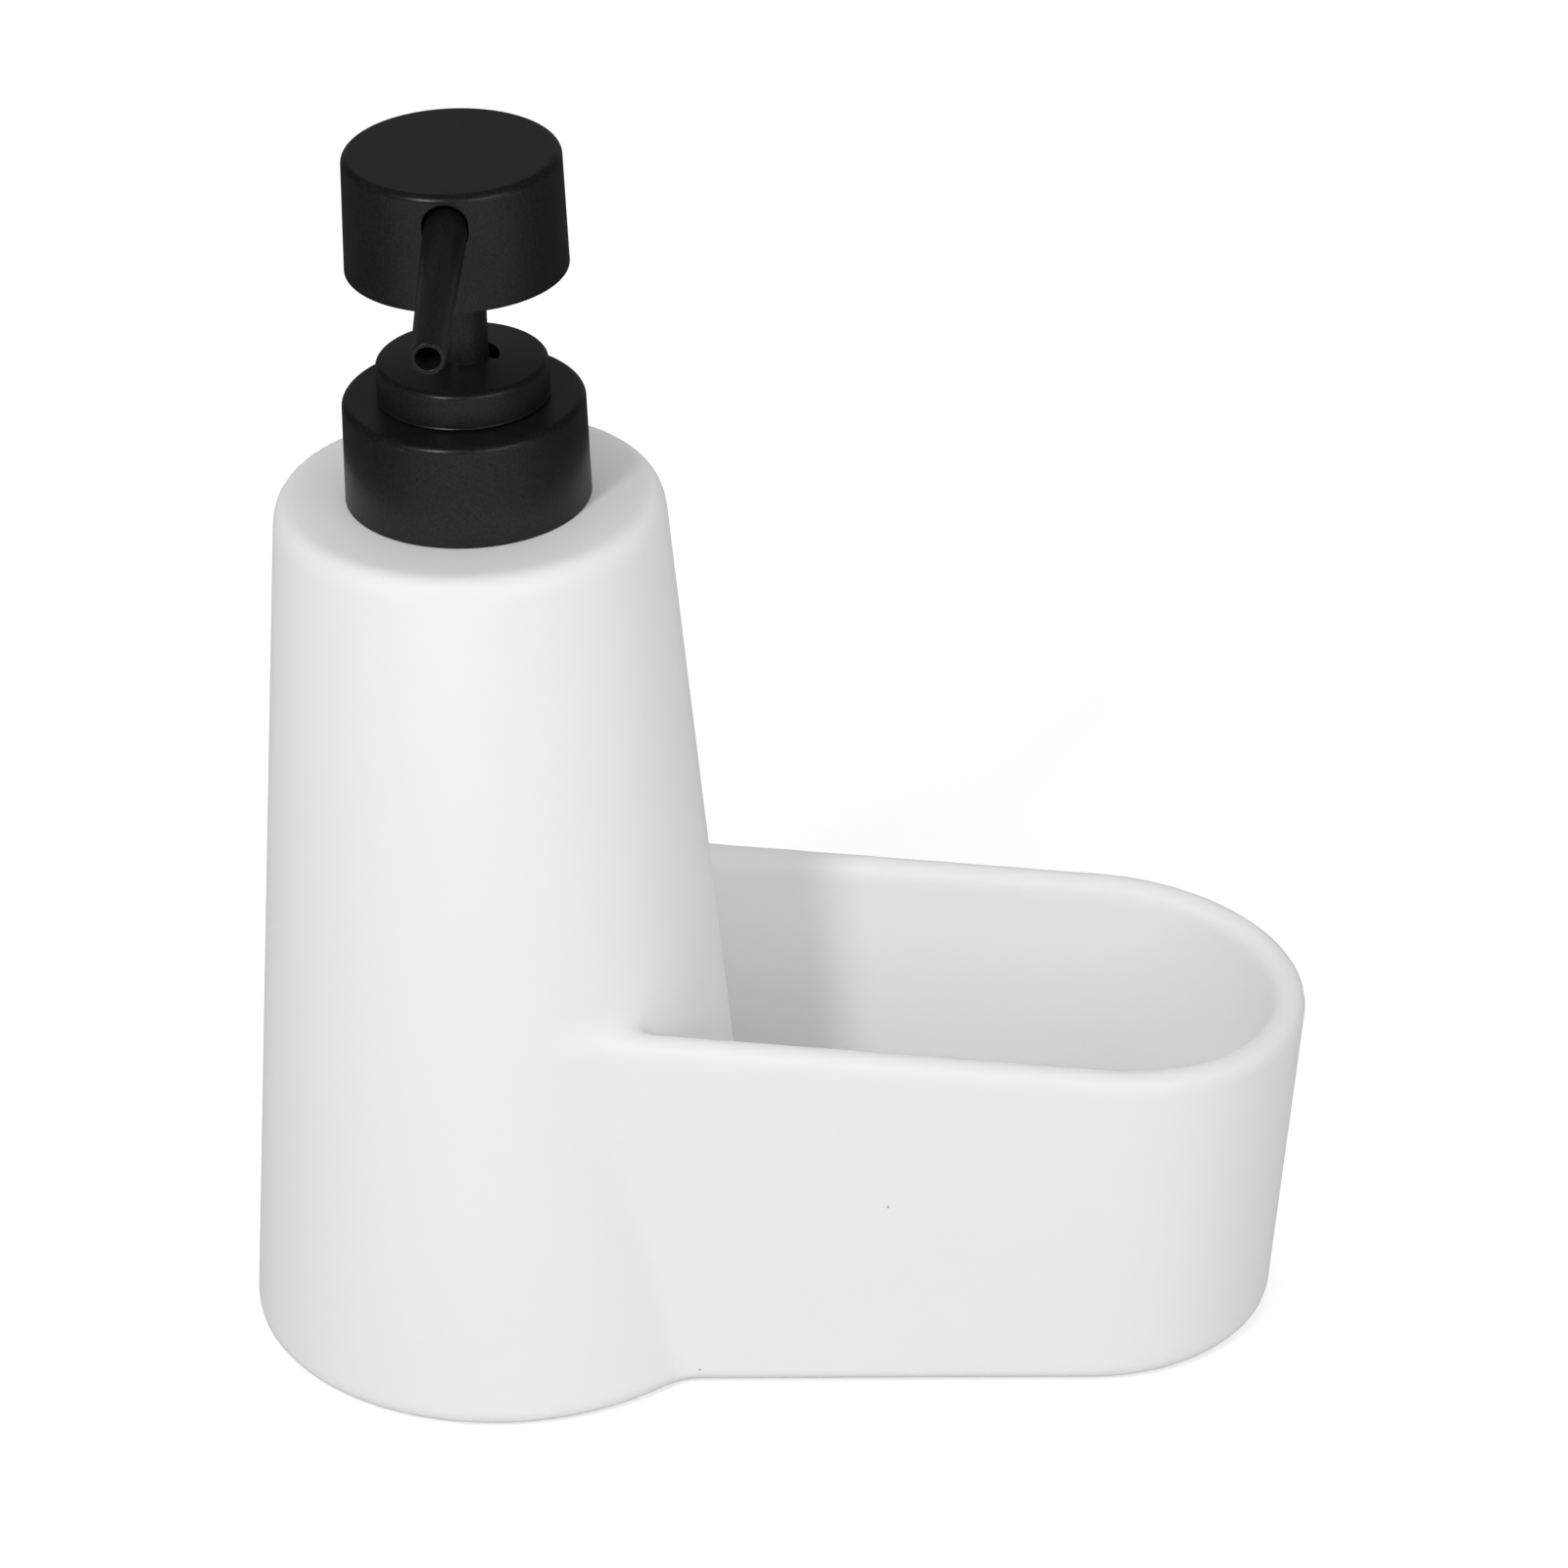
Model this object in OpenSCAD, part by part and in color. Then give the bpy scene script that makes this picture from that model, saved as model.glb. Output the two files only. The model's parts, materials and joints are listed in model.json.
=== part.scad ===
// Soap pump caddy: a ceramic soap tower cast in one piece with a round-ended tray,
// and a lotion pump that screws onto the tower's mouth.
// Millimetres, +Z up. The pump's axis is Z, the tray runs along +X, the spout points to -Y,
// and z = 0 is the surface that the pads stand on.

/* [Tower] */
// Radius of the tower at its underside
tower_base_r = 41.4; // [40:0.1:46]
// Radius that the tapered side reaches at the height of the flat top
tower_top_r = 30.1; // [28:0.1:33]
// Height of the flat top above the ceramic's underside
tower_h = 146.5; // [140:0.5:170]
// Rounding between the side and the flat top
shoulder_round = 4.5; // [3:0.1:6]
// Rounding between the sides and the underside, on the tower and the tray
foot_round = 2.7; // [1.5:0.1:4]
// Thickness of the tower's side wall
tower_wall = 5.5; // [4.5:0.1:7]
// Thickness of the ceramic floor, in the tower and the tray
floor_t = 6; // [5:0.1:9]
// Thickness of the ceramic round the mouth
roof_t = 9; // [7:0.1:12]
// Radius of the mouth in the flat top
mouth_r = 15.6; // [15:0.1:16]

/* [Tray] */
// Half of the tray's width at its underside
tray_half_w = 29.1; // [27:0.1:31]
// Distance from the pump's axis to the centre of the tray's round end
tray_reach = 95; // [88:0.5:110]
// How far the rim stands outside the underside, all round
tray_flare = 3.6; // [2:0.1:4.5]
// How far the round end's centre moves out between underside and rim
tray_lean = 2.2; // [0.5:0.1:3]
// Height that the sloping rim would have on the pump's axis
rim_h = 69; // [62:0.5:74]
// Fall of the rim towards the round end, in degrees
rim_fall = 5.6; // [3:0.1:7]
// Thickness of the tray's wall, which its rim rounds over
tray_wall = 5; // [4:0.1:6]
// Rounding where the well's wall meets its floor
well_round = 8; // [5:0.5:10]
// Radius of the blend between the tray's outer wall and the tower
outer_blend = 5; // [3:0.5:12]
// Radius of the blend between the tray's inner wall and the tower
inner_blend = 4; // [3:0.5:6]
// How far both blends run into the tower's side
blend_sink = 0.3; // [0.2:0.05:0.5]

/* [Pads] */
// Radius of the pad under the tower
tower_pad_r = 26; // [20:0.5:32]
// Radius of the pad under the tray's round end
tray_pad_r = 16; // [12:0.5:19]
// Thickness of both pads
pad_t = 2; // [1.6:0.1:2.6]
// How far the pads stand out below the ceramic
pad_proud = 0.6; // [0.4:0.1:1]
// Gap round a pad in its recess
pad_gap = 0.4; // [0.2:0.1:0.8]

/* [Neck] */
// Radius of the bore that the pump drops through
neck_bore_r = 11.6; // [11:0.1:12]
// Radius of the neck at the root of its thread
neck_r = 13.1; // [13:0.05:13.3]
// Height of the thread's ridge
thread_h = 0.9; // [0.6:0.05:1]
// Rise of the thread in one turn
thread_pitch = 3.2; // [3:0.1:3.6]
// Width of the ridge at its root
thread_root_w = 1.9; // [1.6:0.1:2.1]
// Width of the ridge at its crest
thread_crest_w = 0.9; // [0.6:0.1:1.1]
// Turns of the thread
thread_turns = 1.5; // [1.25:0.25:1.5]
// Thickness of the insert's flange on the flat top
insert_flange_t = 1.4; // [1.2:0.1:1.8]
// Width of the ledge that the insert's flange forms round the mouth
insert_ledge = 1.4; // [1.2:0.1:1.6]
// How far the insert reaches below the ceramic roof
insert_tail = 2; // [1:0.1:4]
// Thickness of the seal under the insert's flange
neck_seal_t = 0.8; // [0.6:0.1:1]
// Thickness of the gasket on top of the neck
gasket_t = 0.9; // [0.7:0.1:1.2]

/* [Collar] */
// Radius of the collar at its bottom edge
collar_base_r = 19; // [18.9:0.1:20]
// Radius of the collar at its top edge
collar_top_r = 18.7; // [18.6:0.1:19.6]
// Height of the collar
collar_h = 16.65; // [16:0.05:18]
// Rounding of the collar's top edge
collar_round = 0.9; // [0.6:0.1:1.1]
// Thickness of the collar's top
collar_plate = 1.2; // [1:0.1:1.5]
// Gap between the collar and the ceramic
collar_lift = 0.15; // [0.1:0.05:0.4]
// Thickness of the screw cap's top
cap_plate = 1.5; // [1.2:0.1:1.8]
// Thickness of the screw cap's side
cap_wall = 2.9; // [2.6:0.05:3]
// Gap between the neck's thread and the screw cap
thread_gap = 0.4; // [0.3:0.05:0.5]
// Gap between the housing's neck and the holes in the collar and the screw cap
neck_gap = 0.3; // [0.2:0.05:0.6]

/* [Lock ring] */
// Radius of the lock ring
ring_r = 13.25; // [12.6:0.05:14.5]
// Height of the lock ring at its edge
ring_h = 5.7; // [5.2:0.05:7]
// How much the ring's top rises from its edge to the stem
ring_crown = 0.6; // [0.3:0.1:0.8]
// Rounding of the ring's top edge
ring_round = 0.9; // [0.6:0.1:1.2]
// Gap between the ring and the collar
ring_gap = 0.45; // [0.15:0.05:0.6]
// Thickness of the ring's top at its edge
ring_plate = 2.2; // [1.8:0.1:2.6]
// Length of the guide sleeve inside the housing
sleeve_len = 11; // [9:0.5:13]
// Radius that the keyway beside the stem hole reaches
key_r = 5.8; // [5.2:0.1:6.4]
// Depth of the keyway below the ring's top
key_depth = 2; // [1.5:0.1:2.2]
// Direction of the keyway's middle, in degrees from +X
key_turn = 22; // [0:1:45]
// Angle that the keyway spans, in degrees
key_span = 76; // [40:1:90]

/* [Housing] */
// Radius of the housing's bore
bore_r = 7; // [6.7:0.05:7.1]
// Thickness of the housing's wall
housing_wall = 1.3; // [1.1:0.05:1.5]
// Radius of the housing's upper neck, which the lock ring grips
housing_neck_r = 10.4; // [10:0.1:10.6]
// Radius of the housing's flange
flange_r = 12.9; // [12.5:0.1:13]
// Thickness of the housing's flange
flange_t = 1.3; // [1.1:0.1:1.6]
// Radius of the vent hole below the flange
vent_r = 0.8; // [0.5:0.1:1]
// Length of the socket that holds the dip tube
socket_len = 12; // [9:0.5:15]
// Thickness of the socket's wall
socket_wall = 1.3; // [1:0.1:1.6]
// Radius of the dip tube
dip_r = 3; // [2.7:0.1:3.3]
// Thickness of the dip tube's wall
dip_wall = 0.8; // [0.6:0.1:1]
// Gap between the dip tube's end and the reservoir's floor
dip_gap = 4; // [3:0.5:8]
// Slant of the dip tube's end, in degrees
dip_slant = 45; // [30:1:55]

/* [Valve] */
// Radius of the check ball
ball_r = 2.4; // [2.2:0.05:2.5]
// How far the check ball lifts off its seat
ball_lift = 1.5; // [1:0.1:2]
// Gap round the check ball
ball_gap = 0.5; // [0.4:0.05:0.6]
// Radius of the seat's hole
seat_hole_r = 1.4; // [1.1:0.1:1.5]
// Height of the ball cage
cage_h = 4; // [3.5:0.1:5]
// Width of the cage's bars
cage_bar_w = 1.6; // [1.2:0.1:2]
// Radius of the cage's opening
cage_open_r = 3.6; // [3.3:0.1:3.8]
// Height of the cage's bars
cage_bar_h = 1.5; // [1.2:0.1:2]

/* [Spring] */
// Length of the spring when the head is pressed right down
spring_pressed_len = 16; // [14:0.5:20]
// Radius of the spring at the middle of its wire
spring_r = 5; // [4.8:0.05:5.2]
// Thickness of the spring's wire
wire_d = 0.9; // [0.7:0.05:1]
// Turns of the spring
spring_turns = 9; // [7:1:10]
// Gap between the last turn and its neighbour at each end
end_turn_gap = 0.5; // [0.45:0.05:0.7]

/* [Plunger] */
// How far the head travels when it is pressed
stroke = 14; // [10:0.5:15]
// Radius of the stem
stem_r = 4.15; // [4:0.05:4.3]
// Radius of the channel through the stem
stem_bore_r = 2.2; // [2:0.05:2.4]
// Radius of the two ports near the stem's lower end
port_r = 0.9; // [0.6:0.1:1]
// Height of the ports above the stem's lower end
port_up = 2.2; // [1.8:0.1:3]
// Height of the piston seal
seal_h = 8; // [7:0.5:9]
// Depth of the seal's waist between its two lips
seal_waist = 0.8; // [0.5:0.1:1]
// Height of each lip
seal_lip_h = 1.6; // [1.2:0.1:2]
// Radius of the valve plug's flange
plug_flange_r = 6; // [5.7:0.1:6.2]
// Thickness of the valve plug's flange
plug_flange_t = 2; // [1.5:0.1:2.5]
// Radius of the spigot that centres the spring
spigot_r = 3.4; // [3:0.1:3.7]
// Length of the spigot
spigot_len = 5; // [4:0.5:6]
// Length of the wiper ring's seat in the lock ring
wiper_h = 1.8; // [1.4:0.1:2.2]
// Thickness of the wiper ring
wiper_t = 1.3; // [1:0.1:1.5]

/* [Head] */
// Radius of the head at its bottom edge
head_base_r = 17.1; // [16.6:0.1:19]
// Radius of the head at its top edge
head_top_r = 16.65; // [16:0.05:18]
// Height of the head
head_h = 18.75; // [18.2:0.05:21]
// Gap between the lock ring's edge and the head when it is pressed right down
press_gap = 1.65; // [1.5:0.05:4]
// Rounding of the head's top edge
head_round = 1.2; // [0.6:0.1:1.5]
// Thickness of the shell's side
head_wall = 1.3; // [1:0.1:1.6]
// Thickness of the shell's top
head_plate = 1.6; // [1.2:0.1:2]
// Depth of the core's disc behind the shell's bottom edge
core_inset = 1.2; // [0.8:0.1:1.6]
// Thickness of the core's disc
core_disc_t = 1.8; // [1.5:0.1:2.2]
// Radius of the core's hub
hub_r = 6.6; // [6.2:0.1:7]
// Radius of the boss that holds the spout
boss_r = 4.6; // [4.3:0.05:4.8]
// Gap between the boss's end and the inside of the shell's side
boss_gap = 2.2; // [1.5:0.1:3]

/* [Spout] */
// Height of the spout's line on the pump's axis, above the head's bottom edge
spout_up = 14; // [13.5:0.1:14.3]
// Distance of the spout's tip from the pump's axis
spout_reach = 53.3; // [46:0.1:60]
// Droop of the spout below level, in degrees
spout_droop = 4.1; // [2.5:0.1:5]
// Radius of the spout where it leaves the head
spout_root_r = 3.35; // [3.1:0.05:3.5]
// Radius of the spout at its tip
spout_tip_r = 2.6; // [2.4:0.05:2.8]
// Radius of the spout's channel
spout_bore_r = 1.85; // [1.5:0.05:1.9]
// Distance of the spout's inner end from the axis
spout_start = 7.5; // [7:0.1:9]
// Gap between the spout and the sides of its opening in the shell
opening_gap = 0.15; // [0.1:0.05:0.3]
// Height of the shell's side above the opening
opening_margin = 1.25; // [1.1:0.05:1.5]

/* [Fits] */
// Radial clearance of a piece that slides or turns in another
run_gap = 0.06; // [0.04:0.01:0.1]
// Clearance between pieces that are pressed together
snug = 0.05; // [0.03:0.01:0.1]
// Gap between faces that meet at a stop
stop_gap = 0.05; // [0.03:0.01:0.1]

/* [Hidden] */
$fn = 96;
// Overrun of every cut
over = 1;
// Segments in the small turned roundings
round_steps = 6;
// Stations of the tray's wall in each blend and round its end
blend_steps = 4;
end_steps = 26;
rim_steps = 9;
// Rings in one turn of the neck's thread and of the spring, and the spring wire's sides
thread_rings = 24;
spring_rings = 8;
wire_sides = 6;
// Share of a turn over which the thread's ridge grows from nothing
thread_run_share = 0.12;
ceramic_colour = [0.94, 0.94, 0.93];
black_colour = [0.12, 0.12, 0.125];
inner_colour = [0.85, 0.87, 0.88];
rubber_colour = [0.55, 0.56, 0.58];
steel_colour = [0.72, 0.73, 0.75];

// Heights, from the pads up to the head
base_z = pad_proud;
floor_z = base_z + floor_t;
tower_top_z = base_z + tower_h;
collar_z = tower_top_z + collar_lift;
collar_top_z = collar_z + collar_h;
cap_top_z = collar_top_z - collar_plate - snug;
flange_top_z = cap_top_z - cap_plate - stop_gap;
flange_z = flange_top_z - flange_t;
neck_top_z = flange_z - gasket_t;
insert_flange_z = tower_top_z + neck_seal_t;
insert_flange_top_z = insert_flange_z + insert_flange_t;
ring_z = collar_top_z + ring_gap;
ring_edge_z = ring_z + ring_h;
ring_top_z = ring_edge_z + ring_crown;
ring_under_z = ring_edge_z - ring_plate;
sleeve_z = ring_under_z - sleeve_len;
seal_top_z = sleeve_z - stop_gap;
seal_z = seal_top_z - seal_h;
stem_z = seal_z - stop_gap;
spring_top_z = stem_z - plug_flange_t;
spring_len = spring_pressed_len + stroke;
spring_z = spring_top_z - spring_len;
cage_z = spring_z - cage_h;
ball_z = cage_z - ball_lift - ball_r;
seat_apex_z = ball_z - ball_r * sqrt(2) - stop_gap;
head_z = ring_edge_z + stroke + press_gap;
head_top_z = head_z + head_h;
spout_z = head_z + spout_up;
stem_top_z = spout_z - spout_root_r;
hub_top_z = head_top_z - head_plate - snug;

// Radii and slopes that follow the sizes above
tower_lean = atan((tower_base_r - tower_top_r) / tower_h);
insert_flange_r = mouth_r + insert_ledge;
thread_crest_r = neck_r + thread_h;
cap_bore_r = thread_crest_r + thread_gap;
cap_r = cap_bore_r + cap_wall;
ring_bore_r = housing_neck_r + snug;
stem_hole_r = stem_r + run_gap;
sleeve_r = bore_r - snug;
chamber_r = ball_r + ball_gap;
socket_r = dip_r + snug + socket_wall;
housing_r = bore_r + housing_wall;
wiper_r = stem_r + run_gap + wiper_t;
wiper_z = ring_under_z - wiper_h;
// The spring's turns, as a formula over the turns wound so far
end_pitch = wire_d + end_turn_gap;
mid_pitch = (spring_len - wire_d - 2 * end_pitch) / (spring_turns - 2);

// Radius of the tower's side at a height above the ceramic's underside
function tower_r(z) = tower_base_r - z * tan(tower_lean);
// Inner radius of the head's shell at a height above its bottom edge
function shell_bore_r(z) = head_base_r - (head_base_r - head_top_r) * z / head_h - head_wall;
// Points along an arc about a centre
function arc(centre, r, from, to, steps) = [
    for (i = [0:steps])
        let (a = from + (to - from) * i / steps)
            [centre.x + r * cos(a), centre.y + r * sin(a)]
];

module turned(points) {
    rotate_extrude() polygon(points);
}

module ring(r_out, r_in, z0, z1) {
    translate([0, 0, z0]) difference() {
        cylinder(r = r_out, h = z1 - z0);
        translate([0, 0, -over]) cylinder(r = r_in, h = z1 - z0 + 2 * over);
    }
}

// Places children with their Z along the spout, from the pump's axis outwards
module along_spout() {
    translate([0, 0, spout_z]) rotate([90 + spout_droop, 0, 0]) children();
}

// A tapered solid of revolution with a rounded top edge
module tapered_can(base_r, top_r, h, edge) {
    lean = atan((base_r - top_r) / h);
    edge_r = top_r + edge * tan(lean) - edge / cos(lean);
    turned(concat(
        [[0, 0], [base_r, 0]],
        arc([edge_r, h - edge], edge, lean, 90, round_steps),
        [[0, h]]
    ));
}

// Body of the caddy

module tower_solid() {
    foot_r = tower_r(foot_round) - foot_round / cos(tower_lean);
    shoulder_z = tower_h - shoulder_round;
    shoulder_r = tower_r(shoulder_z) - shoulder_round / cos(tower_lean);
    turned(concat(
        [[0, 0]],
        arc([foot_r, foot_round], foot_round, -90, tower_lean, round_steps),
        arc([shoulder_r, shoulder_z], shoulder_round, tower_lean, 90, round_steps),
        [[0, tower_h]]
    ));
}

module reservoir() {
    low_z = floor_t + well_round;
    high_z = tower_h - roof_t - shoulder_round;
    low_r = tower_r(low_z) - tower_wall - well_round;
    high_r = tower_r(high_z) - tower_wall - shoulder_round;
    turned(concat(
        [[0, floor_t]],
        arc([low_r, low_z], well_round, -90, 0, round_steps),
        arc([high_r, high_z], shoulder_round, 0, 90, round_steps),
        [[0, tower_h - roof_t]]
    ));
}

// Height of the rim at a distance along the tray
function rim_z(x) = rim_h - x * tan(rim_fall);
rim_half = tray_wall / 2;
// Across the wall: [inset from the outer face, height], from the foot over the rim to the floor
function wall_section(top) = concat(
    arc([foot_round, foot_round], foot_round, 270, 180, round_steps),
    arc([rim_half, top - rim_half], rim_half, 180, 0, rim_steps),
    arc([tray_wall + well_round, floor_t + well_round], well_round, 180, 270, round_steps),
    [[tray_wall + well_round, 0]]
);
// A point of the round end: direction, and a section point
function end_point(a, p, top) =
    let (share = p.y / top, r = tray_half_w + tray_flare * share - p.x)
        [tray_reach + tray_lean * share + r * cos(a), r * sin(a), p.y];
// Where a blend of radius b stands beside a wall line offset y, from the tower (k = 0) to the
// straight wall (k = 1): [x, rise off the wall]; side is 1 outside the tray and -1 inside it
function blend_place(z, y, b, side, k) =
    let (
        r = tower_r(z) - blend_sink + b,
        turn = side > 0 ? acos((y + b) / r) : 90,
        a = turn * (1 - k)
    )
        [sqrt(pow(r, 2) - pow(y + side * b, 2)) - b * sin(a), b - b * cos(a)];
// A point of a wall beside the tower
function blend_point(side, k, p, top) =
    let (
        across = min(1, p.x / tray_wall),
        y = tray_half_w + tray_flare * p.y / top,
        out = blend_place(p.y, y, outer_blend, 1, k),
        in = blend_place(p.y, y - tray_wall, inner_blend, -1, k)
    )
        [
            out.x + (in.x - out.x) * across,
            side * (y - p.x + out.y * (1 - across) - in.y * across),
            p.y
        ];
function blend_top(k) =
    let (
        y = tray_half_w + tray_flare,
        out = blend_place(rim_h, y, outer_blend, 1, k),
        in = blend_place(rim_h, y - tray_wall, inner_blend, -1, k)
    )
        rim_z((out.x + in.x) / 2);
function blend_ring(side, k) =
    [for (p = wall_section(blend_top(k))) blend_point(side, k, p, blend_top(k))];
// The ring that closes a wall inside the tower, on the plane x = 0
function root_ring(side) = [for (p = blend_ring(side, 0)) [0, p.y, p.z]];
function end_ring(a) =
    let (top = rim_z(tray_reach + tray_lean + (tray_half_w + tray_flare - rim_half) * cos(a)))
        [for (p = wall_section(top)) end_point(a, p, top)];

// Skins a row of rings that each have the same number of points
module skin(rings) {
    n = len(rings[0]);
    last = len(rings) - 1;
    sides = [
        for (i = [0:last - 1], j = [0:n - 1])
            let (a = i * n + j, b = i * n + (j + 1) % n)
                each [[a, b, b + n], [a, b + n, a + n]]
    ];
    polyhedron(
        points = [for (r = rings) each r],
        faces = concat(
            sides,
            [[for (j = [n - 1:-1:0]) j]],
            [[for (j = [0:n - 1]) last * n + j]]
        )
    );
}

module tray_wall_solid() {
    skin(concat(
        [root_ring(-1)],
        [for (k = [0:blend_steps]) blend_ring(-1, k / blend_steps)],
        [for (i = [0:end_steps]) end_ring(-90 + 180 * i / end_steps)],
        [for (k = [blend_steps:-1:0]) blend_ring(1, k / blend_steps)],
        [root_ring(1)]
    ));
}

module tray_floor() {
    half = tray_half_w - tray_wall - well_round + over;
    linear_extrude(floor_t) union() {
        translate([0, -half]) square([tray_reach, 2 * half]);
        translate([tray_reach, 0]) circle(r = half);
    }
}

module pad_places() {
    for (i = [0, 1])
        translate([i * tray_reach, 0, 0]) children(i);
}

module caddy_body() {
    recess = pad_t - pad_proud;
    color(ceramic_colour) translate([0, 0, base_z]) difference() {
        union() {
            tower_solid();
            tray_wall_solid();
            tray_floor();
        }
        reservoir();
        translate([0, 0, tower_h - roof_t - over]) cylinder(r = mouth_r, h = roof_t + 2 * over);
        translate([0, 0, -over]) pad_places() {
            cylinder(r = tower_pad_r + pad_gap, h = recess + over);
            cylinder(r = tray_pad_r + pad_gap, h = recess + over);
        }
    }
}

module foot_pads() {
    color(rubber_colour) pad_places() {
        cylinder(r = tower_pad_r, h = pad_t);
        cylinder(r = tray_pad_r, h = pad_t);
    }
}

// Neck that is glued into the mouth

module neck_seal() {
    color(rubber_colour) ring(insert_flange_r, mouth_r, tower_top_z, insert_flange_z);
}

// One ring of the thread's ridge: turns wound, and the share of its full height
function thread_ring(turns, grow) =
    let (
        a = 360 * turns,
        z = thread_pitch * turns,
        crest = neck_r + thread_h * grow,
        root = neck_r - thread_h / 2,
        foot = thread_root_w / 2,
        tip = thread_crest_w / 2
    )
        [for (p = [[root, -foot], [crest, -tip], [crest, tip], [root, foot]])
            [p.x * cos(a), p.x * sin(a), z + p.y]];

module thread() {
    rings = round(thread_turns * thread_rings);
    run = thread_turns * thread_run_share;
    spare = neck_top_z - insert_flange_top_z - thread_pitch * thread_turns;
    translate([0, 0, insert_flange_top_z + spare / 2]) skin([
        for (i = [0:rings])
            let (turns = thread_turns * i / rings)
                thread_ring(turns, min(1, turns / run, (thread_turns - turns) / run))
    ]);
}

module neck_insert() {
    tube_r = mouth_r - snug;
    tail_z = tower_top_z - roof_t - insert_tail;
    color(inner_colour) difference() {
        union() {
            translate([0, 0, tail_z]) cylinder(r = tube_r, h = insert_flange_z - tail_z);
            translate([0, 0, insert_flange_z]) cylinder(r = insert_flange_r, h = insert_flange_t);
            translate([0, 0, insert_flange_z]) cylinder(r = neck_r, h = neck_top_z - insert_flange_z);
            thread();
        }
        translate([0, 0, tail_z - over]) cylinder(r = neck_bore_r, h = neck_top_z - tail_z + 2 * over);
    }
}

// Collar

module collar_shroud() {
    color(black_colour) translate([0, 0, collar_z]) difference() {
        tapered_can(collar_base_r, collar_top_r, collar_h, collar_round);
        translate([0, 0, -over]) cylinder(r = cap_r + snug, h = collar_h - collar_plate + over);
        cylinder(r = housing_neck_r + neck_gap, h = collar_h + over);
    }
}

module screw_cap() {
    skirt_z = insert_flange_top_z + collar_lift;
    color(black_colour) difference() {
        translate([0, 0, skirt_z]) cylinder(r = cap_r, h = cap_top_z - skirt_z);
        translate([0, 0, skirt_z - over]) cylinder(r = cap_bore_r, h = flange_top_z + stop_gap - skirt_z + over);
        translate([0, 0, skirt_z]) cylinder(r = housing_neck_r + neck_gap, h = cap_top_z - skirt_z + over);
    }
}

// Pump, fixed pieces

module neck_gasket() {
    color(rubber_colour) ring(flange_r, neck_bore_r - gasket_t, neck_top_z, flange_z);
}

module pump_housing() {
    taper_h = housing_r - socket_r;
    cone_z = cage_z - housing_wall - taper_h;
    socket_z = seat_apex_z - socket_len;
    color(inner_colour) difference() {
        union() {
            translate([0, 0, flange_top_z]) cylinder(r = housing_neck_r, h = ring_under_z - flange_top_z);
            translate([0, 0, flange_z]) cylinder(r = flange_r, h = flange_t);
            translate([0, 0, cone_z + taper_h]) cylinder(r = housing_r, h = flange_z - cone_z - taper_h);
            translate([0, 0, cone_z]) cylinder(r1 = socket_r, r2 = housing_r, h = taper_h);
            translate([0, 0, socket_z]) cylinder(r = socket_r, h = cone_z - socket_z);
        }
        translate([0, 0, cage_z]) cylinder(r = bore_r, h = ring_under_z - cage_z + over);
        translate([0, 0, seat_apex_z + chamber_r]) cylinder(r = chamber_r, h = cage_z - seat_apex_z - chamber_r + over);
        translate([0, 0, seat_apex_z]) cylinder(r1 = 0, r2 = chamber_r, h = chamber_r);
        translate([0, 0, seat_apex_z - over]) cylinder(r = seat_hole_r, h = seat_hole_r + 2 * over);
        translate([0, 0, socket_z - over]) cylinder(r = dip_r + snug, h = socket_len + over);
        translate([0, 0, flange_z - flange_t - vent_r]) rotate([0, 90, 0]) cylinder(r = vent_r, h = housing_r + over);
    }
}

// Cut in the ring's top, between two lines from the axis
module keyway() {
    far_r = 2 * key_r;
    half = key_span / 2;
    translate([0, 0, ring_top_z - key_depth]) rotate([0, 0, key_turn]) intersection() {
        cylinder(r = key_r, h = key_depth + over);
        linear_extrude(key_depth + over)
            polygon([[0, 0], far_r * [cos(half), -sin(half)], far_r * [cos(half), sin(half)]]);
    }
}

module lock_ring() {
    edge_r = ring_r - ring_round;
    color(black_colour) difference() {
        union() {
            translate([0, 0, ring_z]) turned(concat(
                [[0, 0], [ring_r, 0]],
                arc([edge_r, ring_h - ring_round], ring_round, 0, 90, round_steps),
                [[stem_r, ring_h + ring_crown], [0, ring_h + ring_crown]]
            ));
            translate([0, 0, sleeve_z]) cylinder(r = sleeve_r, h = ring_z - sleeve_z + over);
        }
        difference() {
            translate([0, 0, ring_z - over]) cylinder(r = ring_bore_r, h = ring_under_z - ring_z + over);
            translate([0, 0, ring_z - 2 * over]) cylinder(r = sleeve_r, h = ring_plate + ring_h + over);
        }
        translate([0, 0, sleeve_z - over]) cylinder(r = stem_hole_r, h = ring_top_z - sleeve_z + 2 * over);
        translate([0, 0, wiper_z]) cylinder(r = wiper_r + snug, h = wiper_h);
        keyway();
    }
}

module stem_wiper() {
    color(rubber_colour) ring(wiper_r, stem_hole_r, wiper_z + snug, wiper_z + wiper_h - snug);
}

module ball_cage() {
    cage_r = bore_r - snug;
    color(inner_colour) difference() {
        translate([0, 0, cage_z]) cylinder(r = cage_r, h = cage_h);
        difference() {
            translate([0, 0, cage_z - over]) cylinder(r = cage_open_r, h = cage_h + 2 * over);
            for (a = [0, 90])
                rotate([0, 0, a]) translate([-cage_r, -cage_bar_w / 2, cage_z])
                    cube([2 * cage_r, cage_bar_w, cage_bar_h]);
        }
    }
}

module check_ball() {
    color(steel_colour) translate([0, 0, ball_z]) sphere(r = ball_r);
}

module dip_tube() {
    end_z = floor_z + dip_gap;
    color(inner_colour) difference() {
        ring(dip_r, dip_r - dip_wall, end_z, seat_apex_z - snug);
        translate([0, 0, end_z]) rotate([0, dip_slant, 0]) translate([-3 * dip_r, -2 * dip_r, -4 * dip_r])
            cube([6 * dip_r, 4 * dip_r, 4 * dip_r]);
    }
}

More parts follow.
